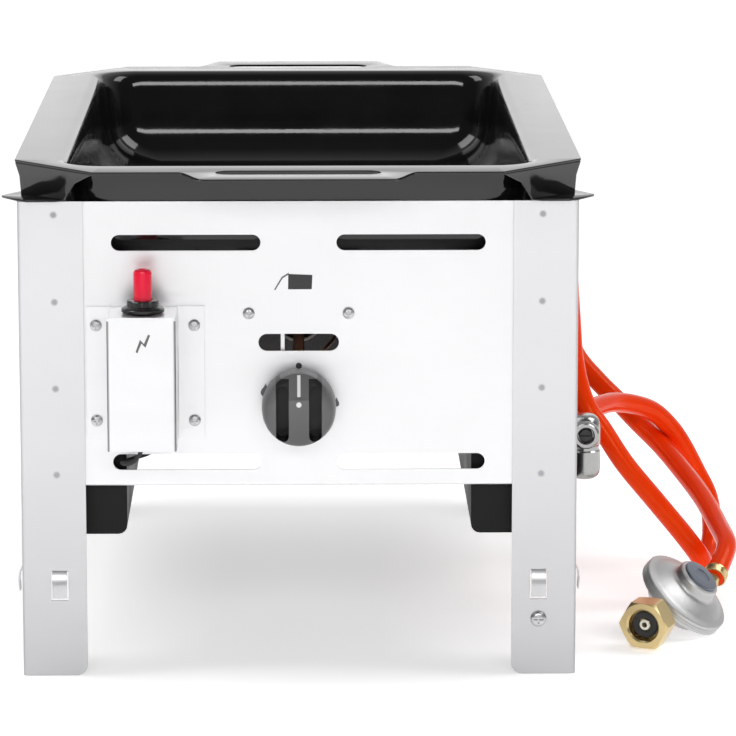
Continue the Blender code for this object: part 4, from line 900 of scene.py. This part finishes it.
def add_knob():
    """The control knob: a domed disc with a finger groove each side of its grip."""
    r = KNOB_RADIUS
    d = KNOB_DEPTH
    knob = turned([(r - 0.0006, 0), (r, 0.0006), (r, 0.0090), (r - 0.0002, 0.0150), (r - 0.0009, 0.0190),
                   (r - 0.0022, 0.0222), (r - 0.0042, 0.0241), (r - 0.0066, 0.0248), (r - 0.0090, d)],
                  (0, 0, 0), (0, 0, 1), 96)
    for side in (-1, 1):
        inner, outer = GROOVE_SIDES
        low, high = sorted((side * inner, side * outer))
        groove = block((low, GROOVE_ENDS[0], 0.0040), (high, GROOVE_ENDS[1], 0.040))
        centre = side * (inner + outer) / 2
        for end in GROOVE_ENDS:
            carve(groove, rod((centre, end, 0.0040), (centre, end, 0.040), (outer - inner) / 2), "UNION")
        carve(knob, groove)
    slope = block((-0.030, 0, 0), (0.030, 0.060, 0.030))
    slope.rotation_euler = (-GRIP_SLOPE, 0, 0)
    slope.location = GRIP_TOP
    settle(slope)
    carve(knob, slope)
    carve(knob, rod((0, 0, -0.005), (0, 0, 0.0173), 0.0043))
    round_edges(knob, 0.0007, 3, 35)
    aim(knob, KNOB_PLACE, (0, -1, 0))
    soften(knob, 40)
    done(knob, "control_knob_moulded", "knob", knob_plastic, "black_plastic", "control_knob")

    line = block((-0.0010, 0.0024, -0.0003), (0.0010, 0.0168, 0.0002))
    round_edges(line, 0.00015, 2, 40)
    line.rotation_euler = (-GRIP_SLOPE, 0, 0)
    line.location = GRIP_TOP
    settle(line)
    aim(line, KNOB_PLACE, (0, -1, 0))
    done(line, "knob_pointer_line", "knob", white_paint, "white_paint", "knob_pointer")
    dot = turned([(0.0016, -0.0003), (0.0016, 0.0001), (0.0013, 0.0002)], (0, 0.0050, d), (0, 0, 1), 32)
    aim(dot, KNOB_PLACE, (0, -1, 0))
    done(dot, "knob_pointer_dot", "knob", white_paint, "white_paint")


def add_igniter():
    """The igniter's notched collar and its push button."""
    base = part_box("igniter_collar")[0].z
    collar = turned(
        [(0.0124, 0), (0.0130, 0.0005), (0.0130, 0.0020), (0.0122, 0.0028), (0.0108, 0.0034), (0.0098, 0.0040),
         (0.0096, 0.0066), (0.0090, 0.0073), (0.0080, 0.0075), (0.0064, 0.0075), (0.0058, 0.0069), (0.0058, 0)],
        IGNITER + Vector((0, 0, base)), (0, 0, 1), 72, bored=True)
    for k in range(12):
        turn = math.radians(30 * k)
        place = IGNITER + Vector((math.cos(turn) * 0.0102, math.sin(turn) * 0.0102, base))
        carve(collar, rod(place + Vector((0, 0, 0.0038)), place + Vector((0, 0, 0.0085)), 0.0009, 16))
    soften(collar, 30)
    done(collar, "igniter_collar_moulded", "body", gloss_plastic, "black_plastic", "igniter_collar")
    low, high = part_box("igniter_button")
    r = 0.0055
    top = high.z - low.z
    button = turned([(r - 0.0004, 0), (r, 0.0004), (r, top - 0.0020), (r - 0.0003, top - 0.0011),
                     (r - 0.0011, top - 0.0004), (r - 0.0023, top), (r - 0.0032, top), (r - 0.0036, top - 0.0004)],
                    IGNITER + Vector((0, 0, low.z)), (0, 0, 1), 64)
    done(button, "igniter_button_cap", "button", red_plastic, "red_plastic", "igniter_button")
    worked("piezo_body", "body", black_plastic, "black_plastic", 0.0003)


def add_screws():
    """One cross-recess screw, copied to each place."""
    names = [f"igniter_screw_{k}" for k in (1, 2, 3, 4)] + ["valve_screw_left", "valve_screw_right", "foot_screw"]
    for name in names:
        low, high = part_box(name)
        r = (high.x - low.x) / 2
        tall = 0.0026 if name == "foot_screw" else 0.0022
        under = low.y + tall
        shank = 0.0019 if name == "foot_screw" else 0.00145
        centre = (low + high) / 2
        length = high.y - under
        screw = turned([(shank * 0.7, -length), (shank, -length + 0.0006), (shank, 0), (r - 0.0003, 0), (r, 0.0003),
                        (r * 0.985, tall * 0.30), (r * 0.90, tall * 0.58), (r * 0.74, tall * 0.80),
                        (r * 0.50, tall * 0.94), (r * 0.25, tall)], (0, 0, 0), (0, 0, 1), 48)
        for long, short in ((r * 0.62, 0.00052), (0.00052, r * 0.62)):
            bar = block((-long, -short, tall * 0.15), (long, short, tall + 0.001))
            carve(screw, bar)
        aim(screw, (centre.x, under, centre.z), (0, -1, 0))
        soften(screw, 30)
        done(screw, f"{name}_cross_head", "body", zinc, "zinc_plated_steel", name)


# ------------------------------------------------------------ printed marks

def mark(name, outlines, x, z, y, finish, slot="black_plastic"):
    """A thin printed mark on an upright face."""
    made = outline_sheet(outlines, 0.00012)
    made.rotation_euler = (math.pi / 2, 0, 0)
    made.location = (x, y - 0.00005, z)
    settle(made)
    return done(made, name, "body", finish, slot)


def flame_outline(size):
    """A plain flame: round below, drawn to a point above."""
    low = arc((0, 0), size * 0.42, 200, 340, 10)
    right = [(size * 0.36, size * 0.18), (size * 0.20, size * 0.42), (size * 0.06, size * 0.85)]
    left = [(-size * 0.10, size * 0.50), (-size * 0.30, size * 0.28), (-size * 0.41, size * 0.05)]
    return low + right + left


def add_marks():
    face = PANEL_FACE
    mark("off_mark", [arc((0, 0), 0.0019, 0, 345, 23)], 0, 0.1935, face, dark_print)
    mark("large_flame_mark", [flame_outline(0.0066)], -0.0206, 0.1772, face, grey_print)
    mark("small_flame_mark", [flame_outline(0.0046)], 0.0228, 0.1700, face, grey_print)
    plate = [(-0.0072, -0.0046), (0.0072, -0.0046), (0.0076, 0.0042), (-0.0070, 0.0048)]
    mark("lighter_mark", [plate], 0.0008, 0.2453, face, dark_print)
    line = [(-0.0066, 0.0045), (-0.0104, 0.0022), (-0.0150, -0.0052), (-0.0157, -0.0048), (-0.0110, 0.0030),
            (-0.0068, 0.0056)]
    mark("lighter_flame_mark", [line], 0.0008, 0.2453, face, grey_print)
    spark = [(-0.0046, -0.0048), (-0.0020, 0.0026), (0.0004, 0.0001), (0.0030, 0.0059), (0.0041, 0.0052),
             (0.0013, -0.0022), (-0.0011, 0.0004), (-0.0036, -0.0056)]
    mark("spark_mark", [spark], -0.0929, 0.2148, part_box("igniter_bracket")[0].y, grey_print)


# ------------------------------------------------------------ the rest of the body

def add_body():
    """The sheet body and what it holds, worked from the CAD pieces, with a dark sheet of painted shade and a web behind
    the view slot.
    """
    for side in ("left", "right"):
        worked(f"{side}_side_panel", "body", side_steel, "stainless_steel", 0.0003, 2, 30)
        worked(f"{side}_heat_shield", "body", dull_enamel, "black_enamel", 0.0003, 2, 30)
    for node, finish in (("front_panel", panel_steel), ("rear_panel", panel_steel), ("igniter_bracket", box_steel)):
        worked(node, "body", finish, "stainless_steel", 0.0002, 2, 30)
    for node in ("valve_bracket", "front_burner_rail", "rear_burner_rail", "pilot_bracket"):
        worked(node, "body", zinc, "zinc_plated_steel", 0.0003)
    # painted shade: a dark sheet with a round hole, standing behind the view slot for the shaded inside of the body
    shade_sheet = outline_sheet([[(-0.036, 0.150), (0.036, 0.150), (0.036, 0.2455), (-0.036, 0.2455)],
                            arc((0, 0.208), 0.0165, 0, 352.5, 47)], 0.0015)
    shade_sheet.rotation_euler = (math.pi / 2, 0, 0)
    shade_sheet.location = (0, -0.0835, 0)
    settle(shade_sheet)
    round_edges(shade_sheet, 0.0003, 2, 60)
    done(shade_sheet, "painted_shade_sheet", "body", dark_steel, "zinc_plated_steel")
    web = block((-0.0110, -0.2374, 0.1985), (-0.0085, -0.2362, 0.2180))
    round_edges(web, 0.0003, 2, 40)
    done(web, "bracket_web", "body", panel_steel, "zinc_plated_steel")
    worked("foot_screw_nut", "body", zinc, "zinc_plated_steel", 0.0003)
    worked("burner_tube", "body", burner_steel, "zinc_plated_steel", 0.0002)
    worked("gas_valve_body", "body", die_cast, "die_cast_metal", 0.0005)
    worked("valve_spindle", "knob", zinc, "zinc_plated_steel", 0.0004)
    worked("valve_push_rod", "push_rod", zinc, "zinc_plated_steel", 0.0003)
    worked("gas_injector", "body", brass, "brass", 0.0003)
    worked("flame_sensor", "body", copper, "copper_pipe", 0.0003)
    worked("ignition_electrode", "body", ceramic, "white_ceramic", 0.0003)
    for node, finish, slot in (("gas_supply_pipe", copper, "copper_pipe"), ("burner_feed_pipe", copper, "copper_pipe"),
                               ("sensor_lead", copper, "copper_pipe"), ("ignition_lead", black_rubber, "black_rubber"),
                               ("regulator_outlet_nipple", brass, "brass")):
        worked(node, "body", finish, slot, 0)


# ------------------------------------------------------------ floor and light

def add_stage():
    """A plain pale floor, a studio that is darker in front than behind, and four soft lamps."""
    let_go()
    bpy.ops.mesh.primitive_plane_add(size=30, location=(0, 0, -0.0002))
    floor = bpy.context.object
    floor.name = "floor"
    made, _, _, shader = new_finish("floor paper", 0.9, 0.0)
    shader.inputs["Base Color"].default_value = (0.92, 0.92, 0.92, 1)
    shader.inputs["Specular IOR Level"].default_value = 0.05
    shader.inputs["Emission Color"].default_value = (1, 1, 1, 1)
    shader.inputs["Emission Strength"].default_value = 0.50
    floor.data.materials.append(made)

    world = bpy.data.worlds.new("studio")
    world.use_nodes = True
    tree = world.node_tree
    add = add_nodes(tree)
    place = add("ShaderNodeTexCoord")
    parts = add("ShaderNodeSeparateXYZ", {"Vector": place.outputs["Generated"]})
    glow = spread(add, parts.outputs["Y"], -0.35, 0.55, 0.07, 0.62)
    tree.nodes["Background"].inputs["Color"].default_value = (1, 1, 1, 1)
    tree.links.new(glow, tree.nodes["Background"].inputs["Strength"])
    bpy.context.scene.world = world

    lamps = [
        ("left_overhead_softbox", (-1.8, -0.2, 2.3), (0, 0, 0.1), 1.2, 1.6, 24),
        ("right_overhead_softbox", (1.8, -0.2, 2.3), (0, 0, 0.1), 1.2, 1.6, 24),
        ("key_softbox", (0, -2.4, 1.20), (0, 0, 0.2), 2.2, 0.45, 22),
        ("back_softbox", (0, 5.0, 1.6), (0, 0, 0.3), 7.0, 2.6, 34),
    ]
    for name, place, target, wide, high, power in lamps:
        data = bpy.data.lights.new(name, "AREA")
        data.shape = "RECTANGLE"
        data.size = wide
        data.size_y = high
        data.energy = power
        lamp = bpy.data.objects.new(name, data)
        lamp.location = place
        lamp.visible_camera = False
        lamp.rotation_euler = (Vector(target) - Vector(place)).to_track_quat("-Z", "Y").to_euler()
        bpy.context.scene.collection.objects.link(lamp)
    bpy.context.scene.view_settings.view_transform = "Standard"


# ------------------------------------------------------------ assembly

add_camera()
add_stage()
add_inlet()
add_regulator()
crimped("inlet_ferrule_crimped", HOSE_START, (0, 1, 0), 0.014, nickel, "die_cast_metal", "inlet_ferrule")
crimped("regulator_ferrule_crimped", HOSE_END, HOSE_LEAD, 0.006, brass, "brass", "regulator_ferrule")
add_pan()
add_knob()
add_igniter()
add_screws()
add_marks()
add_body()
add_hose()
